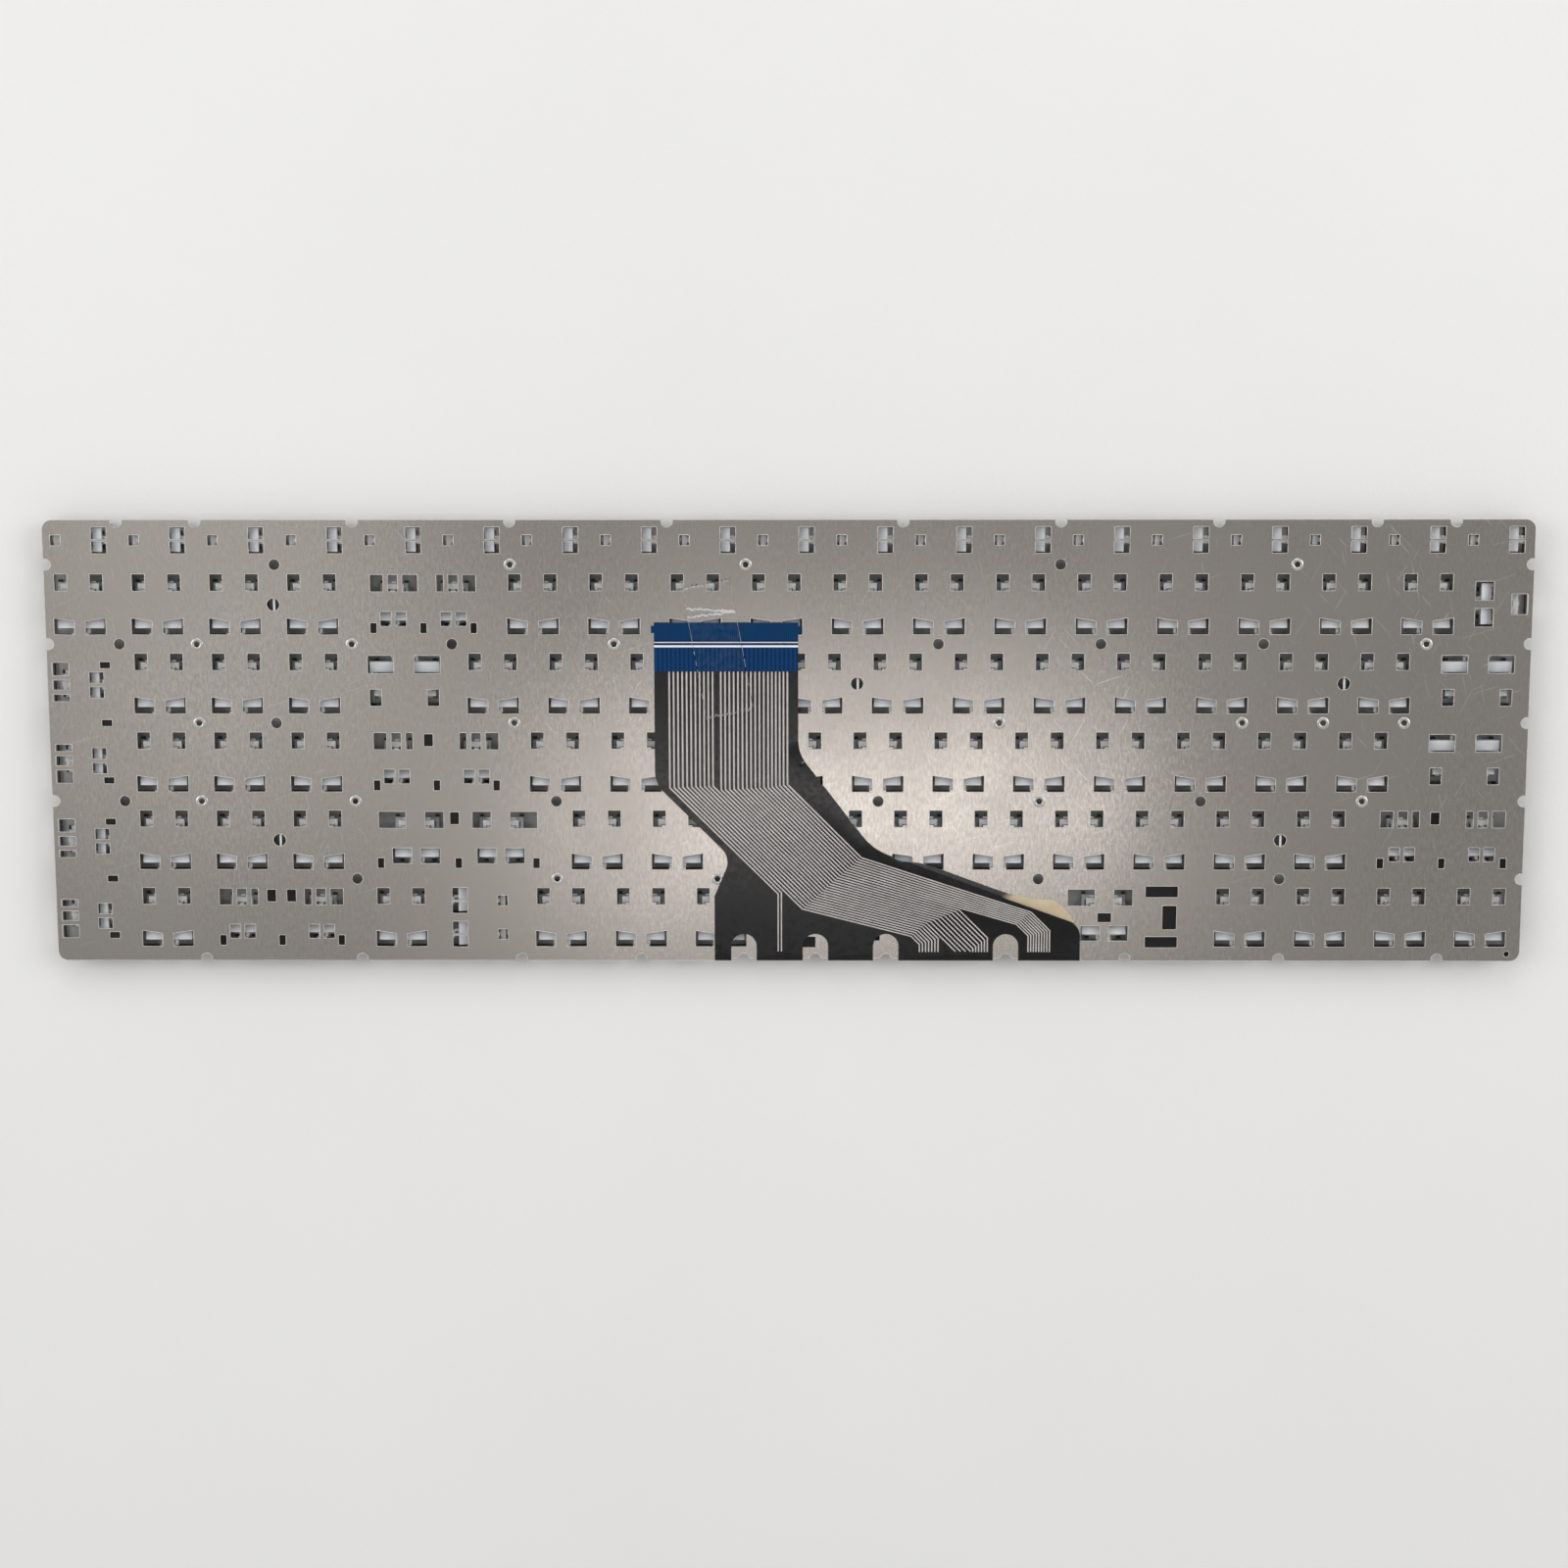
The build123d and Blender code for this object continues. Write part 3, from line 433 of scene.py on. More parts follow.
def make_piece(name, work, material, body="chassis"):
    """Turn an edited mesh into a piece that rides on a body."""
    mesh = bpy.data.meshes.new(name)
    work.to_mesh(mesh)
    work.free()
    mesh.materials.append(material)
    piece = bpy.data.objects.new(name, mesh)
    scene.collection.objects.link(piece)
    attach(piece, body)
    return piece


corner_size, plate_thickness = 0.45 * mm, 0.4 * mm
work = merged_copy("back_plate")
bmesh.ops.dissolve_limit(work, angle_limit=0.002, verts=work.verts, edges=work.edges)
corners = []
for edge in work.edges:
    top, bottom = sorted((v.co for v in edge.verts), key=lambda co: -co.z)
    through = abs(top.z - plate_high.z) < 1e-6 and abs(bottom.z - plate_high.z + plate_thickness) < 1e-6
    faces = edge.link_faces
    if through and len(faces) == 2 and faces[0].normal.dot(faces[1].normal) < 0.4:
        corners.append(edge)
bmesh.ops.bevel(work, geom=corners, offset=corner_size, offset_type="OFFSET", segments=3, profile=0.5,
                affect="EDGES", clamp_overlap=True)
rims = []
for edge in work.edges:
    level = all(abs(v.co.z - plate_high.z) < 1e-6 for v in edge.verts)
    if level and edge.calc_length() > 1e-7 and min(abs(f.normal.z) for f in edge.link_faces) < 0.1:
        rims.append([v.co.copy() for v in edge.verts])
bmesh.ops.triangulate(work, faces=work.faces)
stamped_plate = make_piece("stamped_plate", work, plate_metal)
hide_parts("back_plate")
print("corners:", len(corners), "rim edges:", len(rims), "triangles:", len(stamped_plate.data.polygons))

# %% [markdown]
# What repeats, or follows a path, is made by Geometry Nodes. Two helpers keep those cells short: one
# starts a tree with its named inputs, the other runs a tree on points and edges and keeps the result
# as a plain mesh.


# %% Geometry Nodes helpers
def start_tree(name, inputs):
    """A Geometry Nodes tree with named float inputs, a material input and its end nodes."""
    tree = bpy.data.node_groups.new(name, "GeometryNodeTree")
    tree.interface.new_socket("Geometry", in_out="INPUT", socket_type="NodeSocketGeometry")
    for title, value in inputs:
        socket = tree.interface.new_socket(title, in_out="INPUT", socket_type="NodeSocketFloat")
        socket.default_value = value
    tree.interface.new_socket("Finish", in_out="INPUT", socket_type="NodeSocketMaterial")
    tree.interface.new_socket("Geometry", in_out="OUTPUT", socket_type="NodeSocketGeometry")
    given = tree.nodes.new("NodeGroupInput")
    result = tree.nodes.new("NodeGroupOutput")
    realize = tree.nodes.new("GeometryNodeRealizeInstances")
    finish = tree.nodes.new("GeometryNodeSetMaterial")
    tree.links.new(realize.outputs["Geometry"], finish.inputs["Geometry"])
    tree.links.new(given.outputs["Finish"], finish.inputs["Material"])
    tree.links.new(finish.outputs["Geometry"], result.inputs["Geometry"])
    return tree, given, realize.inputs["Geometry"]


def grow(name, points, edges, tree, values, attribute=None):
    """Run a tree on points and edges, keep the result as a plain mesh, and let it ride on the chassis."""
    mesh = bpy.data.meshes.new(name)
    mesh.from_pydata(points, edges, [])
    if attribute:
        layer = mesh.attributes.new(attribute[0], "FLOAT", "POINT")
        layer.data.foreach_set("value", attribute[1])
    piece = bpy.data.objects.new(name, mesh)
    scene.collection.objects.link(piece)
    modifier = piece.modifiers.new("grow", "NODES")
    modifier.node_group = tree
    for socket in tree.interface.items_tree:
        if socket.in_out == "INPUT" and socket.name in values:
            modifier[socket.identifier] = values[socket.name]
    bpy.context.view_layer.update()
    graph = bpy.context.evaluated_depsgraph_get()
    made = bpy.data.meshes.new_from_object(piece.evaluated_get(graph), depsgraph=graph)
    piece.modifiers.clear()
    piece.data = made
    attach(piece, "chassis")
    print(name, "triangles:", sum(len(f.vertices) - 2 for f in made.polygons))
    return piece


# %% [markdown]
# The punch also leaves a fine raised rim round every window, and that thin line of light makes the plate
# read as metal. The noted edges become curves, and a small round profile is swept along them.

# %% Window rims
tree, given, result = start_tree("window_rim", [("Rim Radius", 0.085 * mm)])
curve = tree.nodes.new("GeometryNodeMeshToCurve")
tree.links.new(given.outputs["Geometry"], curve.inputs["Mesh"])
upright = add_node(tree, "GeometryNodeSetCurveNormal", mode="Z_UP")
tree.links.new(curve.outputs["Curve"], upright.inputs["Curve"])
profile = add_node(tree, "GeometryNodeCurvePrimitiveCircle", Resolution=5)
tree.links.new(given.outputs["Rim Radius"], profile.inputs["Radius"])
sweep = tree.nodes.new("GeometryNodeCurveToMesh")
tree.links.new(upright.outputs["Curve"], sweep.inputs["Curve"])
tree.links.new(profile.outputs["Curve"], sweep.inputs["Profile Curve"])
smooth = tree.nodes.new("GeometryNodeSetShadeSmooth")
tree.links.new(sweep.outputs["Mesh"], smooth.inputs["Geometry"])
tree.links.new(smooth.outputs["Geometry"], result)
numbers = {}
for end in (tuple(point) for rim in rims for point in rim):
    numbers.setdefault(end, len(numbers))
rim_edges = [tuple(numbers[tuple(point)] for point in rim) for rim in rims]
rim_metal = plastic("rim_metal", (0.62, 0.60, 0.57), (0.74, 0.72, 0.69), 0.35, Metallic=0.8)
rim_sink = Vector((0, 0, 0.04 * mm))
grow("window_rims", [Vector(point) - rim_sink for point in numbers], rim_edges, tree,
     {"Finish": rim_metal})

# %% [markdown]
# Nineteen small posts are staked through the plate, and each leaves a raised ring round its hole. All
# rings are alike, so a Geometry Nodes tree puts one on every point: a round profile swept round a
# circle and pressed flat. Its sizes are the tree's inputs.

# %% Staked rings
tree, given, result = start_tree("staked_ring", [("Ring Radius", 1.04 * mm), ("Rim Radius", 0.39 * mm),
                                                 ("Flatness", 0.45)])
path = add_node(tree, "GeometryNodeCurvePrimitiveCircle", Resolution=24)
profile = add_node(tree, "GeometryNodeCurvePrimitiveCircle", Resolution=8)
sweep = tree.nodes.new("GeometryNodeCurveToMesh")
tree.links.new(given.outputs["Ring Radius"], path.inputs["Radius"])
tree.links.new(given.outputs["Rim Radius"], profile.inputs["Radius"])
tree.links.new(path.outputs["Curve"], sweep.inputs["Curve"])
tree.links.new(profile.outputs["Curve"], sweep.inputs["Profile Curve"])
press = tree.nodes.new("ShaderNodeCombineXYZ")
press.inputs["X"].default_value = press.inputs["Y"].default_value = 1.0
tree.links.new(given.outputs["Flatness"], press.inputs["Z"])
flat = tree.nodes.new("GeometryNodeTransform")
tree.links.new(sweep.outputs["Mesh"], flat.inputs["Geometry"])
tree.links.new(press.outputs["Vector"], flat.inputs["Scale"])
smooth = tree.nodes.new("GeometryNodeSetShadeSmooth")
tree.links.new(flat.outputs["Geometry"], smooth.inputs["Geometry"])
copies = tree.nodes.new("GeometryNodeInstanceOnPoints")
tree.links.new(given.outputs["Geometry"], copies.inputs["Points"])
tree.links.new(smooth.outputs["Geometry"], copies.inputs["Instance"])
tree.links.new(copies.outputs["Instances"], result)
stakes = [(108.25, 93.65), (162.87, 93.65), (290.33, 93.65), (132.19, 75.15), (320.69, 75.15),
          (108.78, 56.65), (221.88, 56.65), (278.43, 56.65), (297.28, 56.65), (316.13, 56.65),
          (231.43, 38.15), (306.83, 38.15), (118.33, 19.65), (156.03, 19.65), (35.1, 56.65),
          (35.1, 75.15), (71.2, 75.15), (35.1, 38.15), (71.2, 38.15)]
ring_metal = plastic("ring_metal", (0.54, 0.53, 0.51), (0.66, 0.65, 0.63), 0.32, Metallic=0.75)
grow("staked_rings", [on_plate(x, y, plate_high.z) for x, y in stakes], [], tree,
     {"Finish": ring_metal})

# %% [markdown]
# The five larger holes each show a bright rib of plastic that crosses below the plate. A second small
# tree puts a bar on each hole's middle.

# %% Ribs in the locating holes
tree, given, result = start_tree("locating_rib", [("Width", 0.5 * mm), ("Length", 3.5 * mm),
                                                  ("Depth", 0.1 * mm)])
sizes = tree.nodes.new("ShaderNodeCombineXYZ")
for title, axis in (("Width", "X"), ("Length", "Y"), ("Depth", "Z")):
    tree.links.new(given.outputs[title], sizes.inputs[axis])
bar = tree.nodes.new("GeometryNodeMeshCube")
tree.links.new(sizes.outputs["Vector"], bar.inputs["Size"])
copies = tree.nodes.new("GeometryNodeInstanceOnPoints")
tree.links.new(given.outputs["Geometry"], copies.inputs["Points"])
tree.links.new(bar.outputs["Mesh"], copies.inputs["Instance"])
tree.links.new(copies.outputs["Instances"], result)
locating_holes = [(53.3, 84.4), (53.3, 28.9), (188.9, 65.9), (302.0, 65.9), (288.1, 28.9)]
rib_height = plate_high.z - plate_thickness - 0.07 * mm
grow("locating_ribs", [on_plate(x, y, rib_height) for x, y in locating_holes], [], tree,
     {"Finish": pale_scissor})

# %% [markdown]
# The tail is black film. It starts as part of the circuit sheet, folds round the plate's lower edge and
# lies on the back, where its right side stands off the plate a little and throws a soft shadow. The
# copy is cut along a fine grid, so that it can bend, and points near that side are lifted.

# %% Lifted tail
lift_height, lift_reach = 0.85 * mm, 6.5
lift_line = [Vector((175.0, 52.0)), Vector((180.5, 42.5)), Vector((191.0, 29.0)), Vector((200.0, 24.0)),
             Vector((241.0, 8.7))]


def lift(point):
    """How far the tail stands off the plate at a point, in metres; most halfway along its right side."""
    spot = Vector(((point.x - plate_low.x) / mm, (point.y - plate_low.y) / mm))
    total = sum((b - a).length for a, b in zip(lift_line, lift_line[1:]))
    best, run, along = 1e9, 0.0, 0.0
    for a, b in zip(lift_line, lift_line[1:]):
        share = max(0.0, min(1.0, (spot - a).dot(b - a) / (b - a).length_squared))
        away = (spot - a.lerp(b, share)).length
        if away < best:
            best, along = away, (run + share * (b - a).length) / total
        run += (b - a).length
    return lift_height * math.exp(-(best / lift_reach) ** 2) * math.sin(math.pi * along) ** 0.8


tail_bottom = plate_high.z + 0.1 * mm
work = merged_copy("tail_sheet")
grid_step = 2
for normal, cuts in (((1, 0, 0), range(135, 245, grid_step)), ((0, 1, 0), range(2, 82, grid_step))):
    for cut in cuts:
        back = [f for f in work.faces if all(v.co.z > tail_bottom for v in f.verts)]
        parts = back + list({e for f in back for e in f.edges}) + list({v for f in back for v in f.verts})
        corner = on_plate(cut, cut, 0.0)
        bmesh.ops.bisect_plane(work, geom=parts, plane_co=corner, plane_no=normal, dist=1e-7)
for vertex in work.verts:
    if vertex.co.z > tail_bottom:
        vertex.co.z += lift(vertex.co)
lifted_tail = make_piece("circuit_sheet_with_tail", work, tail_film)
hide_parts("tail_sheet")
for polygon in lifted_tail.data.polygons:
    polygon.use_smooth = True
lifted_tail.data.set_sharp_from_angle(angle=math.radians(30))
print("tail triangles:", sum(len(f.vertices) - 2 for f in lifted_tail.data.polygons))

# %% [markdown]
# Twenty-eight printed silver lines run down the tail, turn twice by about 45 degrees and fan out to
# four groups at the fold. Each is a chain of points worked out from where it starts. A tree turns the
# chains into curves, cuts them finely enough to follow the film, and sweeps a flat strip along them.

# %% Printed lines
line_starts = [145.0 + 1.01 * i for i in range(11)] + [157.0 + 1.0 * i for i in range(12)]
line_starts += [168.9 + 0.9 * i for i in range(5)]


def line_route(i, x):
    """The corners of printed line i, which starts at x on the strip."""
    diagonal = 186.4 + 1.048 * i
    route = [(x, 69.5), (x, diagonal - x)]
    if i < 2:
        end = 170.3 + 0.75 * i
        return route + [(end, diagonal - end), (end, 2.3)]
    second = 176.0 + 0.552 * (i - 2)
    route.append((second, diagonal - second))
    slope = 0.255 + 0.0022 * (i - 2)
    if i < 9:
        second_diagonal, end = 207.57 + 0.97 * (i - 2), 203.6 + 0.73 * (i - 2)
    elif i < 19:
        second_diagonal, end = 214.4 + 1.2 * (i - 9), 216.2 + 0.68 * (i - 13)
    else:
        second_diagonal, end = 235.3 + 0.79 * (i - 19), 229.2 + 0.63 * (i - 19)
        slope = 0.293 + 0.0042 * (i - 19)
    third = (second_diagonal - (diagonal - second) - slope * second) / (1 - slope)
    route.append((third, second_diagonal - third))
    if 9 <= i < 13:
        return route + [(second_diagonal - 2.3, 2.3)]
    return route + [(end, second_diagonal - end), (end, 2.2)]


corner_widths = (0.38, 0.40, 0.32, 0.27, 0.30, 0.32)
points, edges, widths = [], [], []
for i, x in enumerate(line_starts):
    corners = line_route(i, x)
    for n, (cx, cy) in enumerate(corners):
        points.append(on_plate(cx, cy, 0.0))
        widths.append(corner_widths[n])
        if n:
            edges.append((len(points) - 2, len(points) - 1))

tree, given, result = start_tree("printed_line", [("Line Width", 1.0 * mm), ("Line Height", 0.02 * mm)])
curve = tree.nodes.new("GeometryNodeMeshToCurve")
tree.links.new(given.outputs["Geometry"], curve.inputs["Mesh"])
upright = add_node(tree, "GeometryNodeSetCurveNormal", mode="Z_UP")
tree.links.new(curve.outputs["Curve"], upright.inputs["Curve"])
cut = add_node(tree, "GeometryNodeSubdivideCurve", Cuts=14)
tree.links.new(upright.outputs["Curve"], cut.inputs["Curve"])
width = add_node(tree, "GeometryNodeInputNamedAttribute", data_type="FLOAT", Name="line_width")
strip = tree.nodes.new("GeometryNodeCurvePrimitiveQuadrilateral")
tree.links.new(given.outputs["Line Width"], strip.inputs["Width"])
tree.links.new(given.outputs["Line Height"], strip.inputs["Height"])
sweep = add_node(tree, "GeometryNodeCurveToMesh", Fill_Caps=True)
tree.links.new(cut.outputs["Curve"], sweep.inputs["Curve"])
tree.links.new(width.outputs["Attribute"], sweep.inputs["Scale"])
tree.links.new(strip.outputs["Curve"], sweep.inputs["Profile Curve"])
tree.links.new(sweep.outputs["Mesh"], result)
silver_ink = plastic("silver_ink", (0.49, 0.47, 0.45), (0.61, 0.58, 0.56), 0.42, fine=3000.0,
                     Metallic=0.15)
printed_lines = grow("printed_lines", points, edges, tree, {"Finish": silver_ink},
                     ("line_width", widths))
tail_face, line_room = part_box("tail_stiffener")[0].z, 0.05 * mm
for vertex in printed_lines.data.vertices:
    vertex.co.z += tail_face + line_room + lift(vertex.co)
heights = [vertex.co.z for vertex in printed_lines.data.vertices]
print("lines lie between, mm:", round(min(heights) / mm, 3), round(max(heights) / mm, 3))

# %% [markdown]
# Along the tail's lower right side a thin, partly clear sheet on the plate carries a painted reflection:
# one half is painted dark, for the plate mirroring the black tail above it, and the end is painted
# cream, for a warm light it mirrors, so it reads as a grey strip that turns cream. It is one thin
# sheet on the plate, and its colour changes along its length.

# %% Painted reflection beside the tail
reflection_edge = [(196.0, 22.5), (199.5, 23.9), (203.5, 23.5), (207.4, 22.4), (217.1, 18.8), (223.9, 16.35),
             (230.2, 14.9), (235.0, 14.7), (237.0, 13.3), (238.8, 11.3), (240.0, 9.5)]
reflection_under = [(238.5, 7.5), (228.0, 11.5), (202.0, 19.0)]
work = bmesh.new()
reflection_height = plate_high.z + 0.04 * mm
outline = [work.verts.new(on_plate(x, y, reflection_height)) for x, y in reflection_edge + reflection_under]
work.faces.new(outline)
bmesh.ops.recalc_face_normals(work, faces=work.faces)
bmesh.ops.solidify(work, geom=work.faces[:], thickness=0.02 * mm)
bmesh.ops.triangulate(work, faces=work.faces)
painted_reflection_finish, tree, shader = start_finish("painted_reflection_finish")
grain = use_group(tree, moulded_grain, Fine=1800.0, Coarse=300.0)
spot = coordinates(tree)
slant = math_node(tree, "SUBTRACT", spot["X"], math_node(tree, "MULTIPLY", spot["Y"], 1.2))
# painted reflection: the warm mask turns the sheet from dark grey, mirroring the black tail, to cream,
# mirroring a warm light
warm_reflection_mask = ramp(tree, slant, on_plate(224.0, 0, 0).x + 0.0425, on_plate(227.0, 0, 0).x + 0.0425)
painted_warm_reflection = blend_colours(tree, grain["Tone"], (0.66, 0.54, 0.36), (0.74, 0.61, 0.42))
tree.links.new(blend_colours(tree, warm_reflection_mask, (0.040, 0.040, 0.043), painted_warm_reflection), shader.inputs["Base Color"])
tree.links.new(ramp(tree, grain["Tone"], 0.3, 0.7, 0.68, 0.82), shader.inputs["Alpha"])
tree.links.new(ramp(tree, grain["Height"], 0.3, 0.7, 0.18, 0.26), shader.inputs["Roughness"])
painted_reflection_sheet = make_piece("painted_reflection_sheet", work, painted_reflection_finish)
print("backing film faces:", len(painted_reflection_sheet.data.polygons))

# %% [markdown]
# The stiffener is blue film over the contact fingers. Its pattern is painted by place: fine fingers
# along its end, two white lines across it, and pale stripes where the printed lines pass below.

# %% Stiffener finish
stiffener_blue, tree, shader = start_finish("stiffener_blue")
spot = coordinates(tree)
across = math_node(tree, "DIVIDE", math_node(tree, "SUBTRACT", spot["X"], plate_low.x), mm)
up = math_node(tree, "DIVIDE", math_node(tree, "SUBTRACT", spot["Y"], plate_low.y), mm)


def stripes(pitch, share, soft):
    """Stripes across X: 1 in the middle of each, soft at the sides."""
    wave = math_node(tree, "PINGPONG", math_node(tree, "SUBTRACT", across, 145.0), pitch / 2)
    return ramp(tree, wave, pitch / 2 * share, pitch / 2 * share + soft, 1.0, 0.0)


def band(low, high, soft=0.05):
    """1 between two heights on the tail."""
    above = ramp(tree, up, low - soft, low + soft)
    return math_node(tree, "MULTIPLY", above, ramp(tree, up, high - soft, high + soft, 1.0, 0.0))


grain = use_group(tree, moulded_grain, Fine=2400.0, Coarse=200.0)
film = blend_colours(tree, grain["Tone"], (0.0, 0.015, 0.062), (0.0005, 0.024, 0.090))
below = math_node(tree, "MULTIPLY", stripes(1.01, 0.5, 0.12), band(68.0, 74.2))
film = blend_colours(tree, math_node(tree, "MULTIPLY", below, 0.75), film, (0.001, 0.047, 0.150))
fingers = math_node(tree, "MULTIPLY", stripes(0.5, 0.5, 0.06), band(76.2, 80.6))
film = blend_colours(tree, math_node(tree, "MULTIPLY", fingers, 0.6), film, (0.001, 0.056, 0.160))
lines = math_node(tree, "MAXIMUM", band(74.45, 74.95), band(75.5, 75.7))
tree.links.new(blend_colours(tree, lines, film, (0.80, 0.84, 0.88)), shader.inputs["Base Color"])
tree.links.new(ramp(tree, grain["Height"], 0.3, 0.7, 0.30, 0.40), shader.inputs["Roughness"])
tree.links.new(bump(tree, grain["Height"], 0.000006, 0.4), shader.inputs["Normal"])
shader.inputs["Specular IOR Level"].default_value = 0.15
dress("tail_stiffener", stiffener_blue)
print("finish:", stiffener_blue.name)

# %% [markdown]
# A strip of clear tape holds the tail down. It was torn off a roll with a toothed blade, so both ends
# are zigzags, and it follows the step from the plate over the stiffener down to the tail. It is a grid
# of points bent over that profile, with a thickness. Its finish is almost clear; the edges, the torn
# ends and two creases are drawn in white from the UVs, which run across the tape and along it.

# %% Clear tape
tape_width, tape_turn = 11.3, math.radians(10.2)
tape_middle, tape_start, tape_stop = (155.27, 80.2), -21.9, 9.2
tooth_depth, tape_room = 0.45, 0.09 * mm
stiffener_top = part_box("tail_stiffener")[1].z
profile_steps = [(-30.0, tail_face), (-14.7, tail_face), (-13.3, stiffener_top), (1.3, stiffener_top),
                 (2.7, plate_high.z), (30.0, plate_high.z)]


def tape_height(along):
    for (a, low), (b, high) in zip(profile_steps, profile_steps[1:]):
        if a <= along <= b:
            share = (along - a) / (b - a)
            return low + (high - low) * share * share * (3 - 2 * share)


work = bmesh.new()
columns, rows = 23, 44
grid = []
for r in range(rows + 1):
    line = []
    for c in range(columns + 1):
        side = (c / columns - 0.5) * tape_width
        tooth = tooth_depth * (1 if c % 2 else -1)
        along = tape_start + (tape_stop - tape_start) * r / rows
        along += tooth * (max(0.0, 1 - r / 2) + max(0.0, 1 - (rows - r) / 2))
        ripple = 0.05 * mm * math.sin(1.7 * along + 0.8 * side) * math.exp(-((along - 2.6) / 2.2) ** 2)
        x = tape_middle[0] + side * math.cos(tape_turn) - along * math.sin(tape_turn)
        y = tape_middle[1] + side * math.sin(tape_turn) + along * math.cos(tape_turn)
        line.append(work.verts.new(on_plate(x, y, tape_height(along) + tape_room + ripple)))
    grid.append(line)
for low, high in zip(grid, grid[1:]):
    for c in range(columns):
        work.faces.new((low[c], low[c + 1], high[c + 1], high[c]))
layer = work.loops.layers.uv.new("tape")
spots = {v: (c / columns, r / rows) for r, line in enumerate(grid) for c, v in enumerate(line)}
for face in work.faces:
    for loop in face.loops:
        loop[layer].uv = spots[loop.vert]
bmesh.ops.solidify(work, geom=work.faces[:], thickness=0.04 * mm)

clear_tape, tree, shader = start_finish("clear_tape")
grain = use_group(tree, moulded_grain, Fine=1500.0, Coarse=900.0)
spot = coordinates(tree, "UV")
across, along = spot["X"], spot["Y"]


def near(value, width):
    """1 where a value is close to nought."""
    return ramp(tree, math_node(tree, "ABSOLUTE", value), width, width * 1.8, 1.0, 0.0)


def crease(start, fall, width):
    """A wavering line across the tape that starts at one height and falls by some."""
    line = math_node(tree, "ADD", along, math_node(tree, "MULTIPLY", across, fall))
    waver = math_node(tree, "MULTIPLY", math_node(tree, "SUBTRACT", grain["Tone"], 0.5), 0.05)
    return near(math_node(tree, "SUBTRACT", math_node(tree, "ADD", line, waver), start), width)


def border(value, width):
    """1 along both ends of a value that runs from 0 to 1."""
    from_middle = math_node(tree, "ABSOLUTE", math_node(tree, "SUBTRACT", value, 0.5))
    return near(math_node(tree, "SUBTRACT", from_middle, 0.5), width)


ends = math_node(tree, "MULTIPLY", border(along, 0.012), ramp(tree, grain["Tone"], 0.4, 0.6))
outline = math_node(tree, "MULTIPLY", math_node(tree, "MAXIMUM", border(across, 0.008), ends), 0.55)
folds = math_node(tree, "MAXIMUM", crease(0.84, 0.085, 0.006), crease(0.775, 0.02, 0.004))
white = math_node(tree, "MAXIMUM", outline, math_node(tree, "MULTIPLY", folds, 0.8))
tape_colour = blend_colours(tree, white, (0.72, 0.71, 0.70), (0.92, 0.91, 0.90))
tree.links.new(tape_colour, shader.inputs["Base Color"])
tree.links.new(math_node(tree, "ADD", white, ramp(tree, grain["Tone"], 0.4, 0.8, 0.0, 0.035), True),
               shader.inputs["Alpha"])
tree.links.new(bump(tree, grain["Tone"], 0.00002, 0.4), shader.inputs["Normal"])
shader.inputs["Roughness"].default_value = 0.3
shader.inputs["Specular IOR Level"].default_value = 0.2
tape = make_piece("torn_tape", work, clear_tape)
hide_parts("holding_tape")
for polygon in tape.data.polygons:
    polygon.use_smooth = True
print("tape faces:", len(tape.data.polygons))

# %% [markdown]
# Under each key sit a rubber dome and two scissor frames, and under the wide keys a levelling wire. When
# a key goes down they flatten against the sheets. So each moving key gets its own copies, cut out of
# the merged solids by asking which keycap they lie over; all of them ride on the chassis.
# What belongs to the other keys stays together.

# %% Domes, scissor frames and wires
cap_boxes = {name[7:]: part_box(name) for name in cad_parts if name.startswith("keycap_")}


def key_over(point):
    for key, (low, high) in cap_boxes.items():
        if low.x < point.x < high.x and low.y < point.y < high.y:
            return key
    return "other"


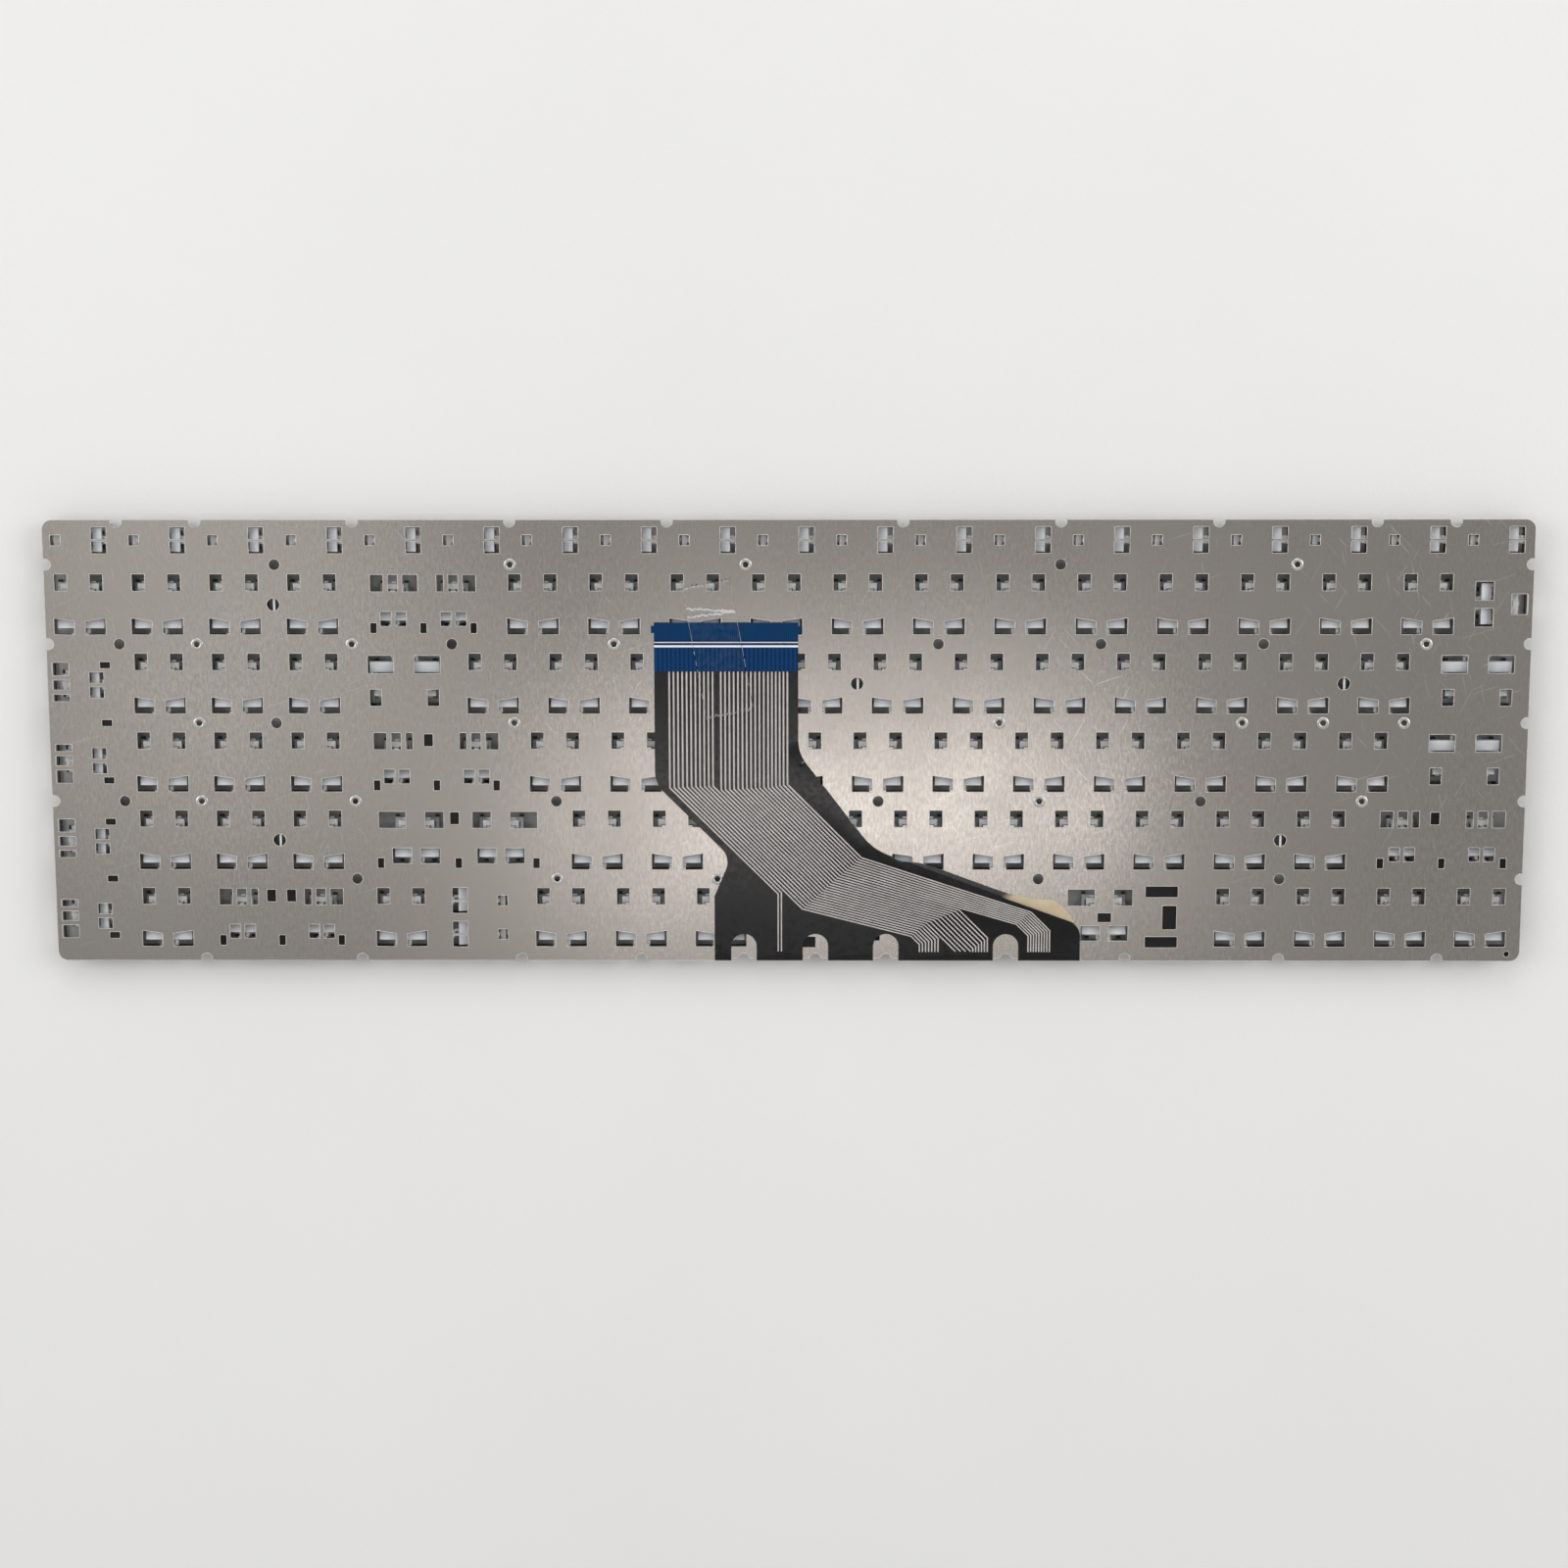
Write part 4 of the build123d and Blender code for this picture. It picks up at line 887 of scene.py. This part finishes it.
def islands_by_key(node):
    """The connected pieces of a solid's mesh, as lists of faces, gathered by the key they lie under."""
    work = merged_copy(node)
    found, seen = {}, set()
    for first in work.faces:
        if first in seen:
            continue
        seen.add(first)
        island, queue = [first], [first]
        while queue:
            for edge in queue.pop().edges:
                for face in edge.link_faces:
                    if face not in seen:
                        seen.add(face)
                        island.append(face)
                        queue.append(face)
        spots = [v.co for f in island for v in f.verts]
        middle = (Vector(map(min, zip(*spots))) + Vector(map(max, zip(*spots)))) / 2
        found.setdefault(key_over(middle), []).extend(island)
    return work, found


def mesh_of(faces):
    """A new mesh that holds only these faces."""
    work = bmesh.new()
    copies = {}
    for face in faces:
        for vertex in face.verts:
            if vertex not in copies:
                copies[vertex] = work.verts.new(vertex.co)
        work.faces.new([copies[v] for v in face.verts])
    return work


soft_parts = [("rubber_domes", "dome", dome_rubber, "dome_rubber"),
              ("scissor_outer_frames", "outer_scissor", pale_scissor, "scissor_plastic"),
              ("scissor_inner_frames", "inner_scissor", grey_scissor, "scissor_plastic"),
              ("levelling_wires", "wire", wire_steel, "wire_steel")]
for node, title, material, slot in soft_parts:
    work, found = islands_by_key(node)
    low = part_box(node)[0].z
    for key, faces in found.items():
        piece = make_piece(f"{title}_{key}", mesh_of(faces), material)
        if key == "other":
            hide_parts(node)
        else:
            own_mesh(piece)
    work.free()

# %% [markdown]
# Through the windows one looks down onto the insides of the black keycaps. Each cap's inner floor gets
# a pale grey copy a hair above it: painted light, which lifts the shade deep inside the windows.

# %% Painted light in the caps
floor_height, light_sheet_room = 0.8 * mm, 0.02 * mm
light_sheets = 0
for node in [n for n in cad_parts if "keycap" in n]:
    work = merged_copy(node)
    floor = [f for f in work.faces
             if f.normal.z > 0.9 and abs(f.calc_center_median().z - floor_height) < 1e-5]
    light_sheet = mesh_of(floor)
    work.free()
    bmesh.ops.translate(light_sheet, verts=light_sheet.verts, vec=(0.0, 0.0, light_sheet_room))
    body = f"key_{node[7:]}" if node.startswith("keycap_") else "chassis"
    make_piece(f"light_sheet_of_{node}", light_sheet, painted_light_inside, body=body)
    light_sheets += 1
print("linings:", light_sheets)
